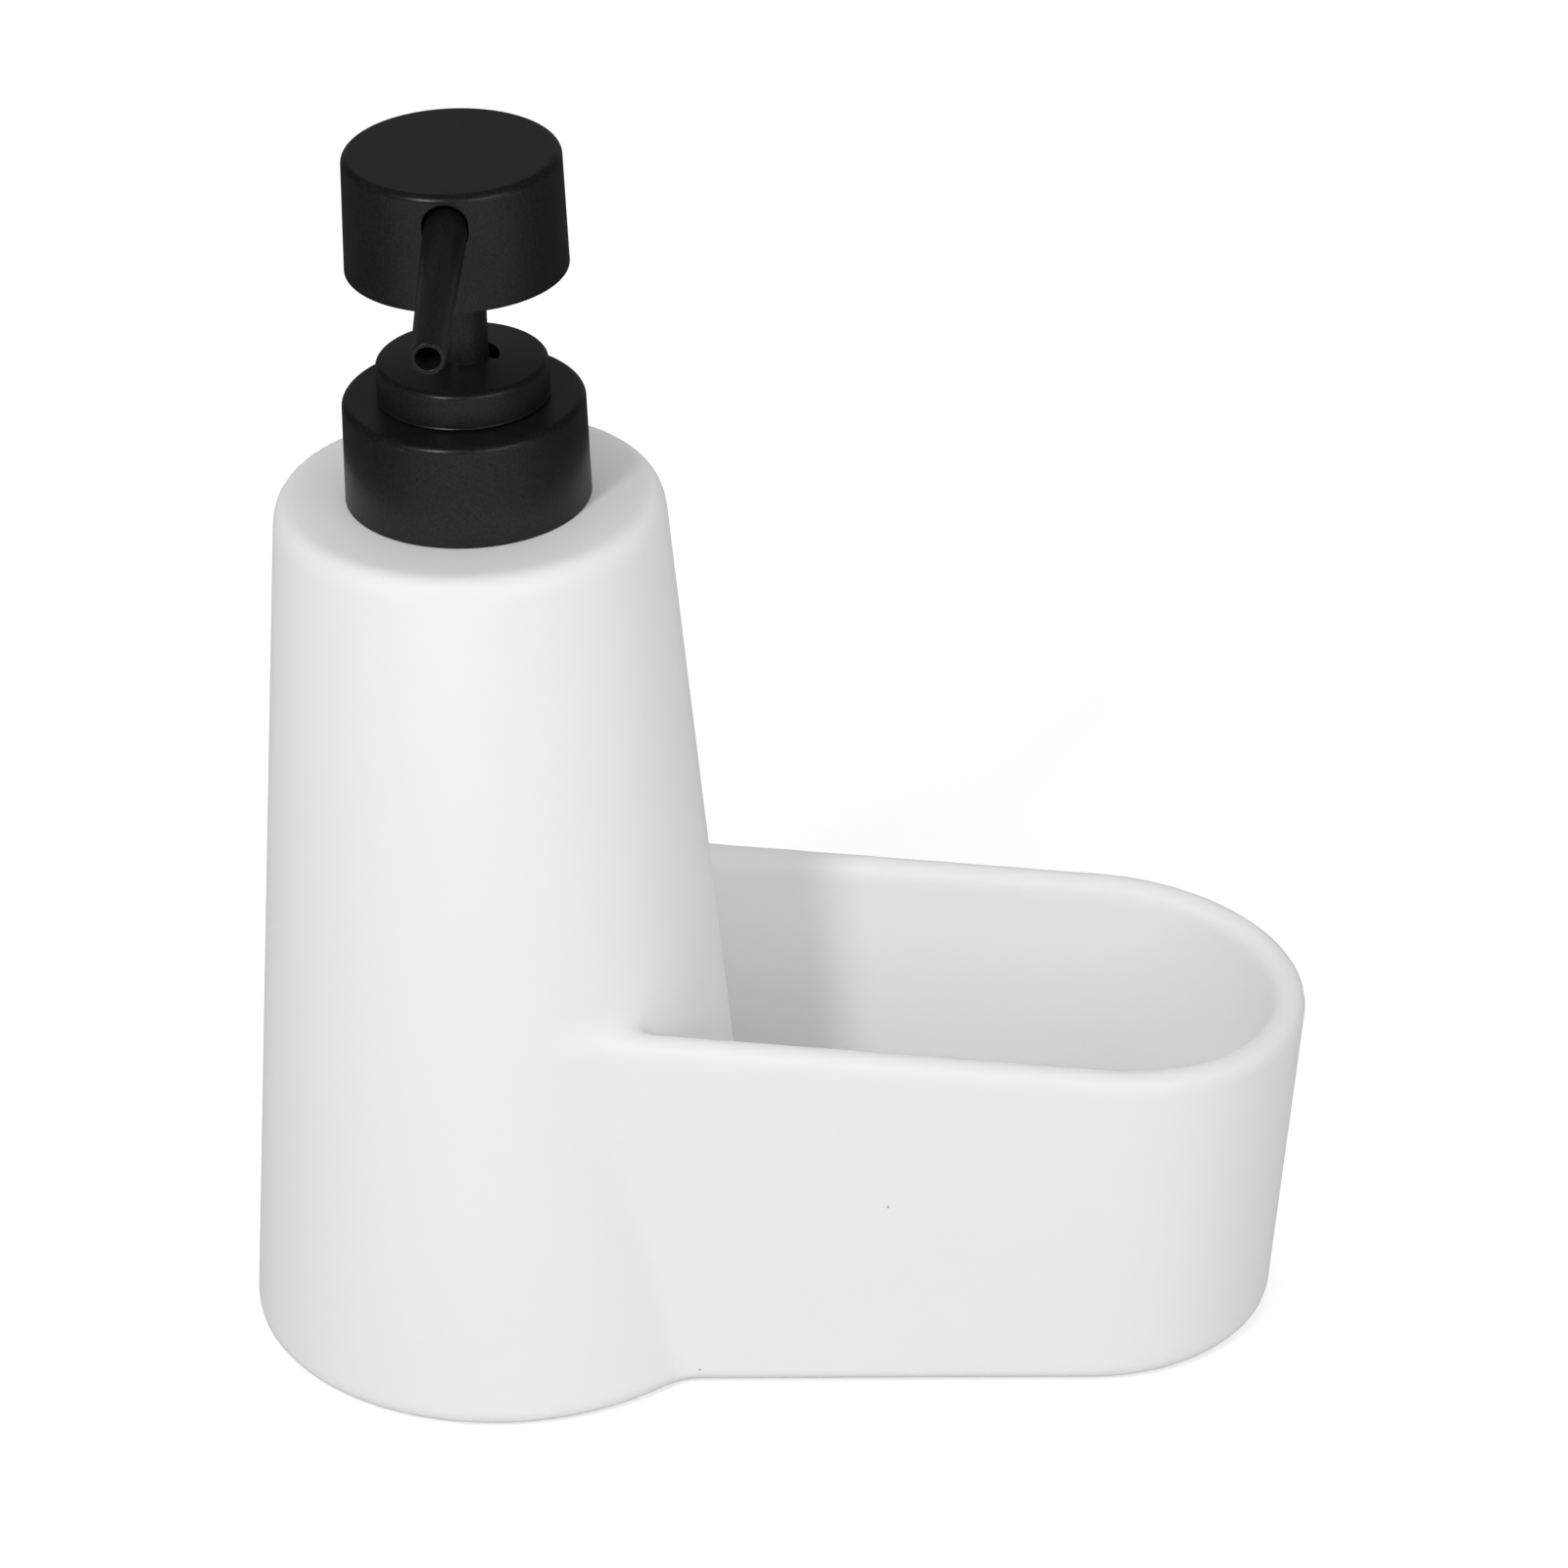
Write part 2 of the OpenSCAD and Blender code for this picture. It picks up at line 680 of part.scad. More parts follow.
// Height of the wire's middle above the spring's lower end, after some turns
function wire_z(turns) =
    wire_d / 2
    + end_pitch * min(1, turns)
    + mid_pitch * max(0, min(turns, spring_turns - 1) - 1)
    + end_pitch * max(0, turns - spring_turns + 1);
function wire_middle(turns) = [spring_r * cos(360 * turns), spring_r * sin(360 * turns), wire_z(turns)];
spring_points = [for (i = [0:spring_turns * spring_rings]) wire_middle(i / spring_rings)];
// Least gap between a point of the wire and the wire about one turn further on
spring_gap = min([
    for (i = [0:(spring_turns - 1) * spring_rings], j = [-1:1])
        norm(spring_points[i] - spring_points[max(0, min(len(spring_points) - 1, i + spring_rings + j))])
]) - wire_d;
echo(spring_least_gap = spring_gap);

module return_spring() {
    color(steel_colour) translate([0, 0, spring_z]) skin([
        for (i = [0:spring_turns * spring_rings])
            let (turns = i / spring_rings)
                [for (j = [0:wire_sides - 1])
                    let (
                        b = 360 * j / wire_sides,
                        r = spring_r + wire_d / 2 * cos(b)
                    )
                        [r * cos(360 * turns), r * sin(360 * turns), wire_z(turns) + wire_d / 2 * sin(b)]]
    ]);
}

// Plunger

module piston_seal() {
    lip_r = bore_r - run_gap;
    waist_r = lip_r - seal_waist;
    color(rubber_colour) translate([0, 0, seal_z]) difference() {
        turned([
            [0, 0], [lip_r, 0], [lip_r, seal_lip_h], [waist_r, 2 * seal_lip_h],
            [waist_r, seal_h - 2 * seal_lip_h], [lip_r, seal_h - seal_lip_h], [lip_r, seal_h], [0, seal_h]
        ]);
        translate([0, 0, -over]) cylinder(r = stem_hole_r, h = seal_h + 2 * over);
    }
}

module pump_stem() {
    color(black_colour) difference() {
        ring(stem_r, stem_bore_r, stem_z, stem_top_z);
        translate([-stem_r - over, 0, stem_z + port_up]) rotate([0, 90, 0])
            cylinder(r = port_r, h = 2 * (stem_r + over));
    }
}

module valve_plug() {
    color(inner_colour) union() {
        translate([0, 0, stem_z]) cylinder(r = stem_bore_r - snug, h = port_up - port_r);
        translate([0, 0, spring_top_z]) cylinder(r = plug_flange_r, h = plug_flange_t);
        translate([0, 0, spring_top_z - spigot_len]) cylinder(r = spigot_r, h = spigot_len);
    }
}

// Head

module head_core() {
    disc_z = head_z + core_inset;
    disc_r = shell_bore_r(core_inset + core_disc_t) - snug;
    boss_end_r = shell_bore_r(spout_up + boss_r) - boss_gap;
    color(black_colour) difference() {
        union() {
            translate([0, 0, disc_z]) cylinder(r = disc_r, h = core_disc_t);
            translate([0, 0, disc_z]) cylinder(r = hub_r, h = hub_top_z - disc_z);
            intersection() {
                along_spout() cylinder(r = boss_r, h = head_base_r);
                translate([0, 0, head_z]) cylinder(r = boss_end_r, h = hub_top_z - head_z);
            }
        }
        translate([0, 0, disc_z - over]) cylinder(r = stem_r + snug, h = stem_top_z - disc_z + over);
        translate([0, 0, disc_z]) cylinder(r = stem_bore_r, h = spout_z - disc_z + spout_bore_r);
        along_spout() cylinder(r = spout_bore_r, h = spout_start + over);
        along_spout() translate([0, 0, spout_start]) cylinder(r = spout_root_r + snug, h = head_base_r);
    }
}

module head_shell() {
    slot_r = spout_root_r + opening_gap;
    slot_start = shell_bore_r(head_h) - over;
    rise = head_h - opening_margin - spout_up + head_top_r * tan(spout_droop) - slot_r;
    color(black_colour) difference() {
        translate([0, 0, head_z]) tapered_can(head_base_r, head_top_r, head_h, head_round);
        translate([0, 0, head_z - over]) cylinder(
            r1 = shell_bore_r(-over), r2 = shell_bore_r(head_h - head_plate),
            h = head_h - head_plate + over
        );
        for (lift = [0, rise])
            translate([0, 0, lift]) along_spout() translate([0, 0, slot_start]) cylinder(r = slot_r, h = head_base_r);
        along_spout() translate([-slot_r, 0, slot_start]) cube([2 * slot_r, rise, head_base_r]);
    }
}

module spout_tube() {
    root = head_base_r;
    color(black_colour) along_spout() difference() {
        union() {
            translate([0, 0, spout_start]) cylinder(r = spout_root_r, h = root - spout_start);
            translate([0, 0, root]) cylinder(r1 = spout_root_r, r2 = spout_tip_r, h = spout_reach - root);
        }
        translate([0, 0, spout_start - over]) cylinder(r = spout_bore_r, h = spout_reach - spout_start + 2 * over);
    }
}

caddy_body();
neck_seal();
neck_insert();
foot_pads();
collar_shroud();
screw_cap();
neck_gasket();
pump_housing();
lock_ring();
stem_wiper();
ball_cage();
check_ball();
dip_tube();
return_spring();
piston_seal();
valve_plug();
pump_stem();
head_core();
head_shell();
spout_tube();
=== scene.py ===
import json
import math
from functools import partial

import bmesh
import bpy
from mathutils import Matrix, Vector


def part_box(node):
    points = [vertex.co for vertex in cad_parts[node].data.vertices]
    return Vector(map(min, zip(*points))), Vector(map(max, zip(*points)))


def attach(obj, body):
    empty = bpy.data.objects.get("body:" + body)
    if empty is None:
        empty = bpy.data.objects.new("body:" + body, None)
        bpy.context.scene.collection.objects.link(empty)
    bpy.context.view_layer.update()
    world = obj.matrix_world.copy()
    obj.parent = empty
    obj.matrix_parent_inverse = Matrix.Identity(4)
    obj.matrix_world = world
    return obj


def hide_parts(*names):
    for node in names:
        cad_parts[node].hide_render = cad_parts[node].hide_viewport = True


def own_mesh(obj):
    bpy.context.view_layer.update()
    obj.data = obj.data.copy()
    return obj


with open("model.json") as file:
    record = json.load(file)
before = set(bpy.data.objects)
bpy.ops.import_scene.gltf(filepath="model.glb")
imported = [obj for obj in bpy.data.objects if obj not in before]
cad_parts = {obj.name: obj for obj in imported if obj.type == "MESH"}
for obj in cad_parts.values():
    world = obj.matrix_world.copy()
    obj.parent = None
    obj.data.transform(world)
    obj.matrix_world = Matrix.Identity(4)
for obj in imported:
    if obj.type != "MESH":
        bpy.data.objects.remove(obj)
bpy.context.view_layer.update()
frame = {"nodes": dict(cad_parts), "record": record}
mm = 0.001

# Camera, fitted to the picture's outlines: place in metres, angles in degrees, lens in millimetres

pictureView = {
    "place": (0.0861, -0.9329, 0.6267),
    "yaw": -2.384,
    "dip": 29.661,
    "roll": -1.591,
    "lens": 156.73,
    "sensor": 36.0,
    "nearest": 0.05,
    "furthest": 30,
}


def makeCamera(view):
    yaw, dip, roll = (math.radians(view[k]) for k in ("yaw", "dip", "roll"))
    look = Vector((math.sin(yaw) * math.cos(dip), math.cos(yaw) * math.cos(dip), -math.sin(dip)))
    level = Vector((math.cos(yaw), -math.sin(yaw), 0))
    upright = level.cross(look)
    right = math.cos(roll) * level + math.sin(roll) * upright
    up = math.cos(roll) * upright - math.sin(roll) * level
    lens = bpy.data.cameras.new("pictureCamera")
    lens.lens = view["lens"]
    lens.sensor_width = view["sensor"]
    lens.clip_start = view["nearest"]
    lens.clip_end = view["furthest"]
    camera = bpy.data.objects.new("pictureCamera", lens)
    turn = Matrix((right, up, -look)).transposed().to_4x4()
    camera.matrix_world = Matrix.Translation(view["place"]) @ turn
    bpy.context.collection.objects.link(camera)
    bpy.context.scene.camera = camera


makeCamera(pictureView)
print("camera placed")


# Small helpers for node trees

def addNode(tree, kind, values=(), links=(), **settings):
    node = tree.nodes.new(kind)
    for key, value in settings.items():
        setattr(node, key, value)
    for key, value in dict(values).items():
        node.inputs[key].default_value = value
    for key, socket in dict(links).items():
        tree.links.new(socket, node.inputs[key])
    return node


def mathNode(tree, operation, *terms):
    node = tree.nodes.new("ShaderNodeMath")
    node.operation = operation
    for slot, term in zip(node.inputs, terms):
        if isinstance(term, (int, float)):
            slot.default_value = term
        else:
            tree.links.new(term, slot)
    return node.outputs[0]


def arithmetic(tree, given):
    # Sums on a tree's sockets, on its inputs by name and on plain numbers
    def op(operation, *terms):
        return mathNode(tree, operation, *(given[t] if isinstance(t, str) else t for t in terms))
    return op


def startTree(name, sizes):
    # An empty geometry tree with one named input for each size
    tree = bpy.data.node_groups.new(name, "GeometryNodeTree")
    for key, value in sizes.items():
        tree.interface.new_socket(key, in_out="INPUT", socket_type="NodeSocketFloat").default_value = value
    tree.interface.new_socket("finish", in_out="INPUT", socket_type="NodeSocketMaterial")
    tree.interface.new_socket("surface", in_out="OUTPUT", socket_type="NodeSocketGeometry")
    return tree, tree.nodes.new("NodeGroupInput").outputs


def endTree(tree, surface, given):
    smooth = addNode(tree, "GeometryNodeSetShadeSmooth", {"Shade Smooth": True}, {"Geometry": surface})
    real = addNode(tree, "GeometryNodeRealizeInstances", {}, {"Geometry": smooth.outputs[0]})
    coated = addNode(tree, "GeometryNodeSetMaterial", {},
                     {"Geometry": real.outputs[0], "Material": given["finish"]})
    out = tree.nodes.new("NodeGroupOutput")
    tree.links.new(coated.outputs[0], out.inputs[0])


# Finishes

def startMaterial(name):
    material = bpy.data.materials.new(name)
    material.use_nodes = True
    tree = material.node_tree
    tree.nodes.clear()
    output = tree.nodes.new("ShaderNodeOutputMaterial")
    shader = tree.nodes.new("ShaderNodeBsdfPrincipled")
    tree.links.new(shader.outputs[0], output.inputs["Surface"])
    place = tree.nodes.new("ShaderNodeTexCoord").outputs["Object"]
    return material, tree, shader, place


def grain(tree, place, scale, detail):
    noise = addNode(tree, "ShaderNodeTexNoise", {"Scale": scale, "Detail": detail, "Roughness": 0.5},
                    {"Vector": place})
    return noise.outputs["Fac"]


def mottle(tree, shader, field, dark, light):
    mix = addNode(tree, "ShaderNodeMix", {6: (*dark, 1), 7: (*light, 1)}, {0: field}, data_type="RGBA")
    tree.links.new(mix.outputs[2], shader.inputs["Base Color"])
    return mix.outputs[2]


def speckle(tree, shader, place, colour, scale, size, tint):
    # A few small dots, where a cell's point lies close to the surface
    cells = addNode(tree, "ShaderNodeTexVoronoi", {"Scale": scale}, {"Vector": place})
    dot = addNode(tree, "ShaderNodeMapRange",
                  {"From Min": 0.5 * size * scale, "From Max": size * scale, "To Min": 1.0, "To Max": 0.0},
                  {"Value": cells.outputs["Distance"]})
    mix = addNode(tree, "ShaderNodeMix", {7: (*tint, 1)}, {0: dot.outputs[0], 6: colour},
                  data_type="RGBA")
    tree.links.new(mix.outputs[2], shader.inputs["Base Color"])


noiseReach = (0.3, 0.7)  # nearly all of a noise's values lie between these


def spread(tree, shader, field, low, high):
    ramp = addNode(tree, "ShaderNodeMapRange",
                   {"From Min": noiseReach[0], "From Max": noiseReach[1], "To Min": low, "To Max": high},
                   {"Value": field})
    tree.links.new(ramp.outputs[0], shader.inputs["Roughness"])


def emboss(tree, shader, *layers):
    normal = None
    for field, strength, depth in layers:
        bump = addNode(tree, "ShaderNodeBump", {"Strength": strength, "Distance": depth}, {"Height": field})
        if normal:
            tree.links.new(normal, bump.inputs["Normal"])
        normal = bump.outputs["Normal"]
    tree.links.new(normal, shader.inputs["Normal"])


def setSockets(shader, look):
    # What is the same all over a surface is set on the shader itself
    for key, value in look["sockets"].items():
        shader.inputs[key].default_value = value


# In each finish, clouds, grain and ripple are a noise's scale and detail, and a bump is its strength and depth

glaze = {
    "light": (0.925, 0.925, 0.925),
    "dark": (0.905, 0.905, 0.907),
    "roughness": (0.52, 0.62),
    "clouds": (45, 3.0),
    "grain": (1500, 2.0),
    "ripple": (110, 1.0),
    "rippleBump": (0.25, 0.12 * mm),
    "grainBump": (0.35, 0.03 * mm),
    "speckScale": 85,
    "speckSize": 0.28 * mm,
    "speckTint": (0.42, 0.41, 0.40),
    "sockets": {"IOR": 1.5, "Specular IOR Level": 0.35},
}


def whiteGlaze():
    material, tree, shader, place = startMaterial("whiteGlaze")
    clouds, fine, ripple = (grain(tree, place, *glaze[key]) for key in ("clouds", "grain", "ripple"))
    colour = mottle(tree, shader, clouds, glaze["dark"], glaze["light"])
    speckle(tree, shader, place, colour, glaze["speckScale"], glaze["speckSize"], glaze["speckTint"])
    spread(tree, shader, fine, *glaze["roughness"])
    emboss(tree, shader, (ripple, *glaze["rippleBump"]), (fine, *glaze["grainBump"]))
    setSockets(shader, glaze)
    return material


blackPlastic = {
    "light": (0.0165, 0.0165, 0.0172),
    "dark": (0.0025, 0.0025, 0.0028),
    "cloudShare": 0.3,
    "sparkReach": (0.32, 0.68),
    "roughness": (0.45, 0.6),
    "clouds": (120, 3.0),
    "grain": (3000, 3.0),
    "ripple": (260, 1.0),
    "rippleBump": (0.2, 0.04 * mm),
    "grainBump": (0.5, 0.014 * mm),
    "sockets": {
        "IOR": 1.46,
        "Specular IOR Level": 0.04,
        "Coat Weight": 0.43,
        "Coat Roughness": 0.32,
        "Coat IOR": 1.65,
    },
}


def satinBlack():
    # Moulded plastic with a fine spark texture under a thin satin skin
    material, tree, shader, place = startMaterial("satinBlack")
    look = blackPlastic
    clouds, fine, ripple = (grain(tree, place, *look[key]) for key in ("clouds", "grain", "ripple"))
    sparks = addNode(tree, "ShaderNodeMapRange",
                     {"From Min": look["sparkReach"][0], "From Max": look["sparkReach"][1]}, {"Value": fine})
    field = addNode(tree, "ShaderNodeMix", {0: look["cloudShare"]}, {2: sparks.outputs[0], 3: clouds},
                    data_type="FLOAT")
    mottle(tree, shader, field.outputs[0], look["dark"], look["light"])
    spread(tree, shader, fine, *look["roughness"])
    emboss(tree, shader, (ripple, *look["rippleBump"]), (fine, *look["grainBump"]))
    tree.links.new(shader.inputs["Normal"].links[0].from_socket, shader.inputs["Coat Normal"])
    setSockets(shader, look)
    return material


def cloudyFinish(name, look):
    # Softly clouded colour, with a fine grain in its gloss and its surface
    material, tree, shader, place = startMaterial(name)
    clouds, fine = (grain(tree, place, *look[key]) for key in ("clouds", "grain"))
    mottle(tree, shader, clouds, look["dark"], look["light"])
    spread(tree, shader, fine, *look["roughness"])
    emboss(tree, shader, (fine, *look["grainBump"]))
    setSockets(shader, look)
    return material


milkyPlastic = {
    "light": (0.80, 0.82, 0.83),
    "dark": (0.74, 0.765, 0.78),
    "roughness": (0.34, 0.44),
    "clouds": (90, 3.0),
    "grain": (2600, 2.0),
    "grainBump": (0.4, 0.01 * mm),
    "sockets": {
        "Subsurface Weight": 0.25,
        "Subsurface Radius": (1, 1, 1),
        "Subsurface Scale": 1.5 * mm,
    },
}
softRubber = {
    "light": (0.32, 0.33, 0.345),
    "dark": (0.25, 0.26, 0.275),
    "roughness": (0.7, 0.85),
    "clouds": (200, 3.0),
    "grain": (3000, 3.0),
    "grainBump": (0.6, 0.03 * mm),
    "sockets": {},
}
springSteel = {
    "light": (0.62, 0.62, 0.63),
    "dark": (0.52, 0.52, 0.54),
    "roughness": (0.22, 0.36),
    "clouds": (300, 2.0),
    "grain": (5000, 2.0),
    "grainBump": (0.3, 0.005 * mm),
    "sockets": {"Metallic": 1.0},
}

finishes = {
    "white_ceramic": whiteGlaze(),
    "black_plastic": satinBlack(),
    "milky_plastic": cloudyFinish("milkyMoulding", milkyPlastic),
    "grey_rubber": cloudyFinish("greyRubber", softRubber),
    "steel": cloudyFinish("drawnSteel", springSteel),
}
slotOf = {part["node"]: part["material_slot"] for part in frame["record"]["subparts"]}
bodyOf = {node: body for body, nodes in frame["record"]["behaviour"]["bodies"].items() for node in nodes}
print("finishes made")


def settle(piece, *nodes):
    # Gives a finished piece the finish, body and slot of the CAD node it stands for
    slot = slotOf[nodes[0]]
    piece.data.materials.clear()
    piece.data.materials.append(finishes[slot])
    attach(piece, bodyOf[nodes[0]])
    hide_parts(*nodes)


def meshObject(name, mesh):
    piece = bpy.data.objects.new(name, mesh)
    bpy.context.collection.objects.link(piece)
    return piece


def bakeModifiers(piece):
    # Turns a piece with modifiers into a plain mesh
    graph = bpy.context.evaluated_depsgraph_get()
    mesh = bpy.data.meshes.new_from_object(piece.evaluated_get(graph))
    mesh.name = piece.name
    piece.modifiers.clear()
    old = piece.data
    piece.data = mesh
    bpy.data.meshes.remove(old)


# Ceramic body: one distance field of the tower, the tray and their hollows, turned into a surface

caddyBody = {
    "towerBaseRadius": 41.4 * mm,
    "towerTopRadius": 30.1 * mm,
    "shoulderRound": 2.0 * mm,
    "shoulderDrop": 4.0 * mm,
    "ceilingRound": 4.5 * mm,
    "footRound": 2.7 * mm,
    "towerWall": 5.5 * mm,
    "floorThickness": 6 * mm,
    "roofThickness": 9 * mm,
    "mouthRadius": 15.6 * mm,
    "mouthRound": 0.5 * mm,
    "mouthOverlap": 1 * mm,
    "trayHalfWidth": 29.1 * mm,
    "trayReach": 95 * mm,
    "trayFlare": 3.6 * mm,
    "trayLean": 2.2 * mm,
    "rimHeight": 69 * mm,
    "rimSlope": math.tan(math.radians(5.6)),
    "trayWall": 5 * mm,
    "wellRound": 8 * mm,
    "basinRise": 12 * mm,
    "lowBlend": 1.2 * mm,
    "rimBlend": 3.0 * mm,
    "rimBlendBand": 12 * mm,
    "recessDepth": 1.4 * mm,
    "recessRound": 0.3 * mm,
    "towerRecessRadius": 26.4 * mm,
    "trayRecessRadius": 16.4 * mm,
}
caddyMesh = {  # how finely the surface of the body is drawn
    "voxel": 1.2 * mm,
    "margin": 2.6 * mm,
    "stretch": 100.0,
    "drawings": 3,
}


def makeCaddyTree(low, high):
    sizes = dict(caddyBody, footHeight=low.z, towerHeight=high.z - low.z)
    tree, given = startTree("caddyField", sizes)
    op = arithmetic(tree, given)
    plus, minus, times = partial(op, "ADD"), partial(op, "SUBTRACT"), partial(op, "MULTIPLY")
    least, most = partial(op, "MINIMUM"), partial(op, "MAXIMUM")

    def negative(a):
        return times(a, -1.0)

    def length(a, b):
        return op("SQRT", plus(times(a, a), times(b, b)))

    def roundedMeet(a, b, radius):
        # What lies in both, with their outer edge rounded
        corner = length(most(plus(a, radius), 0.0), most(plus(b, radius), 0.0))
        return plus(least(most(a, b), negative(radius)), corner)

    def roundedJoin(a, b, radius):
        # What lies in either, with their inner corner filled
        corner = length(most(minus(radius, a), 0.0), most(minus(radius, b), 0.0))
        return minus(most(least(a, b), radius), corner)

    where = tree.nodes.new("GeometryNodeInputPosition").outputs[0]
    x, y, fullZ = addNode(tree, "ShaderNodeSeparateXYZ", links={"Vector": where}).outputs
    z = minus(fullZ, "footHeight")

    # Tower
    lean = op("DIVIDE", minus("towerBaseRadius", "towerTopRadius"), "towerHeight")
    flank = op("DIVIDE", 1.0, op("SQRT", plus(1.0, times(lean, lean))))
    radial = length(x, y)
    side = times(minus(radial, minus("towerBaseRadius", times(lean, z))), flank)
    # the shoulder falls further than it reaches in
    squash = op("DIVIDE", "shoulderRound", "shoulderDrop")
    tower = roundedMeet(side, times(minus(z, "towerHeight"), squash), "shoulderRound")

    # Tray
    rim = minus("rimHeight", times(x, "rimSlope"))
    share = op("DIVIDE", z, rim)
    endX = plus("trayReach", times("trayLean", share))
    alongX = minus(x, least(most(x, 0.0), endX))
    outer = minus(length(alongX, y), plus("trayHalfWidth", times("trayFlare", share)))
    halfWall = times("trayWall", 0.5)
    slab = minus(op("ABSOLUTE", plus(outer, halfWall)), halfWall)
    wall = roundedMeet(slab, minus(z, rim), halfWall)
    well = roundedMeet(plus(outer, "trayWall"), minus("floorThickness", z), "wellRound")
    basinTop = plus("floorThickness", "basinRise")
    basin = most(most(outer, negative(well)), minus(z, basinTop))
    tray = least(wall, basin)

    # The join between them is softer near the rim
    nearRim = addNode(tree, "ShaderNodeMapRange", {"From Max": 0.0},
                      interpolation_type="SMOOTHSTEP")
    tree.links.new(minus(z, rim), nearRim.inputs["Value"])
    tree.links.new(negative("rimBlendBand"), nearRim.inputs["From Min"])
    tree.links.new(given["lowBlend"], nearRim.inputs["To Min"])
    tree.links.new(given["rimBlend"], nearRim.inputs["To Max"])
    solid = roundedJoin(tower, tray, nearRim.outputs[0])
    solid = roundedMeet(solid, negative(z), "footRound")

    # Reservoir, mouth and pad recesses
    inside = plus(side, "towerWall")
    ceiling = minus(z, minus("towerHeight", "roofThickness"))
    hollow = roundedMeet(inside, ceiling, "ceilingRound")
    hollow = roundedMeet(hollow, minus("floorThickness", z), "wellRound")
    mouth = most(minus(radial, "mouthRadius"), negative(plus(ceiling, "mouthOverlap")))
    hollow = least(hollow, mouth)
    trayRadial = length(minus(x, "trayReach"), y)
    recess = least(minus(radial, "towerRecessRadius"), minus(trayRadial, "trayRecessRadius"))
    recess = most(recess, minus(z, "recessDepth"))
    solid = roundedMeet(solid, negative(hollow), "mouthRound")
    solid = roundedMeet(solid, negative(recess), "recessRound")

    # Surface of the field. The volume holds it stretched about a positive value, where its surface is drawn
    edge = Vector((caddyMesh["margin"],) * 3)
    cubeLow, cubeHigh = low - edge, high + edge
    counts = [round((b - a) / caddyMesh["voxel"]) for a, b in zip(cubeLow, cubeHigh)]
    cube = addNode(tree, "GeometryNodeVolumeCube", {
        "Background": -1.0, "Min": cubeLow, "Max": cubeHigh,
        "Resolution X": counts[0], "Resolution Y": counts[1], "Resolution Z": counts[2]})
    surfaceAt = 0.5
    tree.links.new(plus(times(solid, -caddyMesh["stretch"]), surfaceAt), cube.inputs["Density"])
    skin = addNode(tree, "GeometryNodeVolumeToMesh", {"Threshold": surfaceAt},
                   {"Volume": cube.outputs[0]})
    surface = skin.outputs[0]
    # its points are then drawn onto the field's own surface, nearer each time
    for drawing in range(caddyMesh["drawings"]):
        normal = tree.nodes.new("GeometryNodeInputNormal").outputs[0]
        shift = addNode(tree, "ShaderNodeVectorMath", {}, {0: normal}, operation="SCALE")
        tree.links.new(negative(solid), shift.inputs["Scale"])
        moved = addNode(tree, "GeometryNodeSetPosition", {},
                        {"Geometry": surface, "Offset": shift.outputs[0]})
        surface = moved.outputs[0]
    endTree(tree, surface, given)
    return tree, sizes


def applyTree(piece, tree, values):
    # Sets a tree's named inputs and turns its result into a plain mesh
    modifier = piece.modifiers.new(tree.name, "NODES")
    modifier.node_group = tree
    for item in tree.interface.items_tree:
        if item.in_out == "INPUT" and item.name in values:
            modifier[item.identifier] = values[item.name]
    bakeModifiers(piece)


def makeCaddyBody():
    low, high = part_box("caddy_body")
    tree, sizes = makeCaddyTree(low, high)
    piece = meshObject("caddyCasting", bpy.data.meshes.new("caddyCasting"))
    applyTree(piece, tree, dict(sizes, finish=finishes["white_ceramic"]))
    settle(piece, "caddy_body")
    print("ceramic body made,", len(piece.data.polygons), "faces")


makeCaddyBody()


# Turned pieces: an outline of (radius, height, rounding) is filleted and spun about Z

outlineRules = {
    "step": math.radians(11),
    "guard": 0.35 * mm,
    "share": 0.48,
    "onAxis": 0.0001 * mm,
}


def filletOutline(points):
    # A rounding keeps to its share of the stretch beside it, and a guard point stands beyond each of its ends
    step, guard, share = (outlineRules[key] for key in ("step", "guard", "share"))
    line = []
    last = len(points) - 1
    for i, point in enumerate(points):
        here = Vector(point[:2])
        radius = point[2] if len(point) > 2 else 0
        if i in (0, last) or not radius:
            line.append([here])
            continue
        back = Vector(points[i - 1][:2]) - here
        ahead = Vector(points[i + 1][:2]) - here
        half = back.angle(ahead) / 2
        reach = min(radius / math.tan(half), share * back.length, share * ahead.length)
        radius = reach * math.tan(half)
        towards = (back.normalized() + ahead.normalized()).normalized()
        middle = here + towards * radius / math.sin(half)
        start = here + back.normalized() * reach - middle
        end = here + ahead.normalized() * reach - middle
        turn = start.angle_signed(end)
        steps = max(2, math.ceil(abs(turn) / step))
        line.append([middle + Matrix.Rotation(-turn * k / steps, 2) @ start for k in range(steps + 1)])
    outline = []
    for i, stretch in enumerate(line):
        if i:
            before, after = line[i - 1][-1], stretch[0]
            gap = (after - before).length
            if gap > 3 * guard:
                outline.append(before.lerp(after, guard / gap))
                outline.append(before.lerp(after, 1 - guard / gap))
        outline.extend(stretch)
    return outline


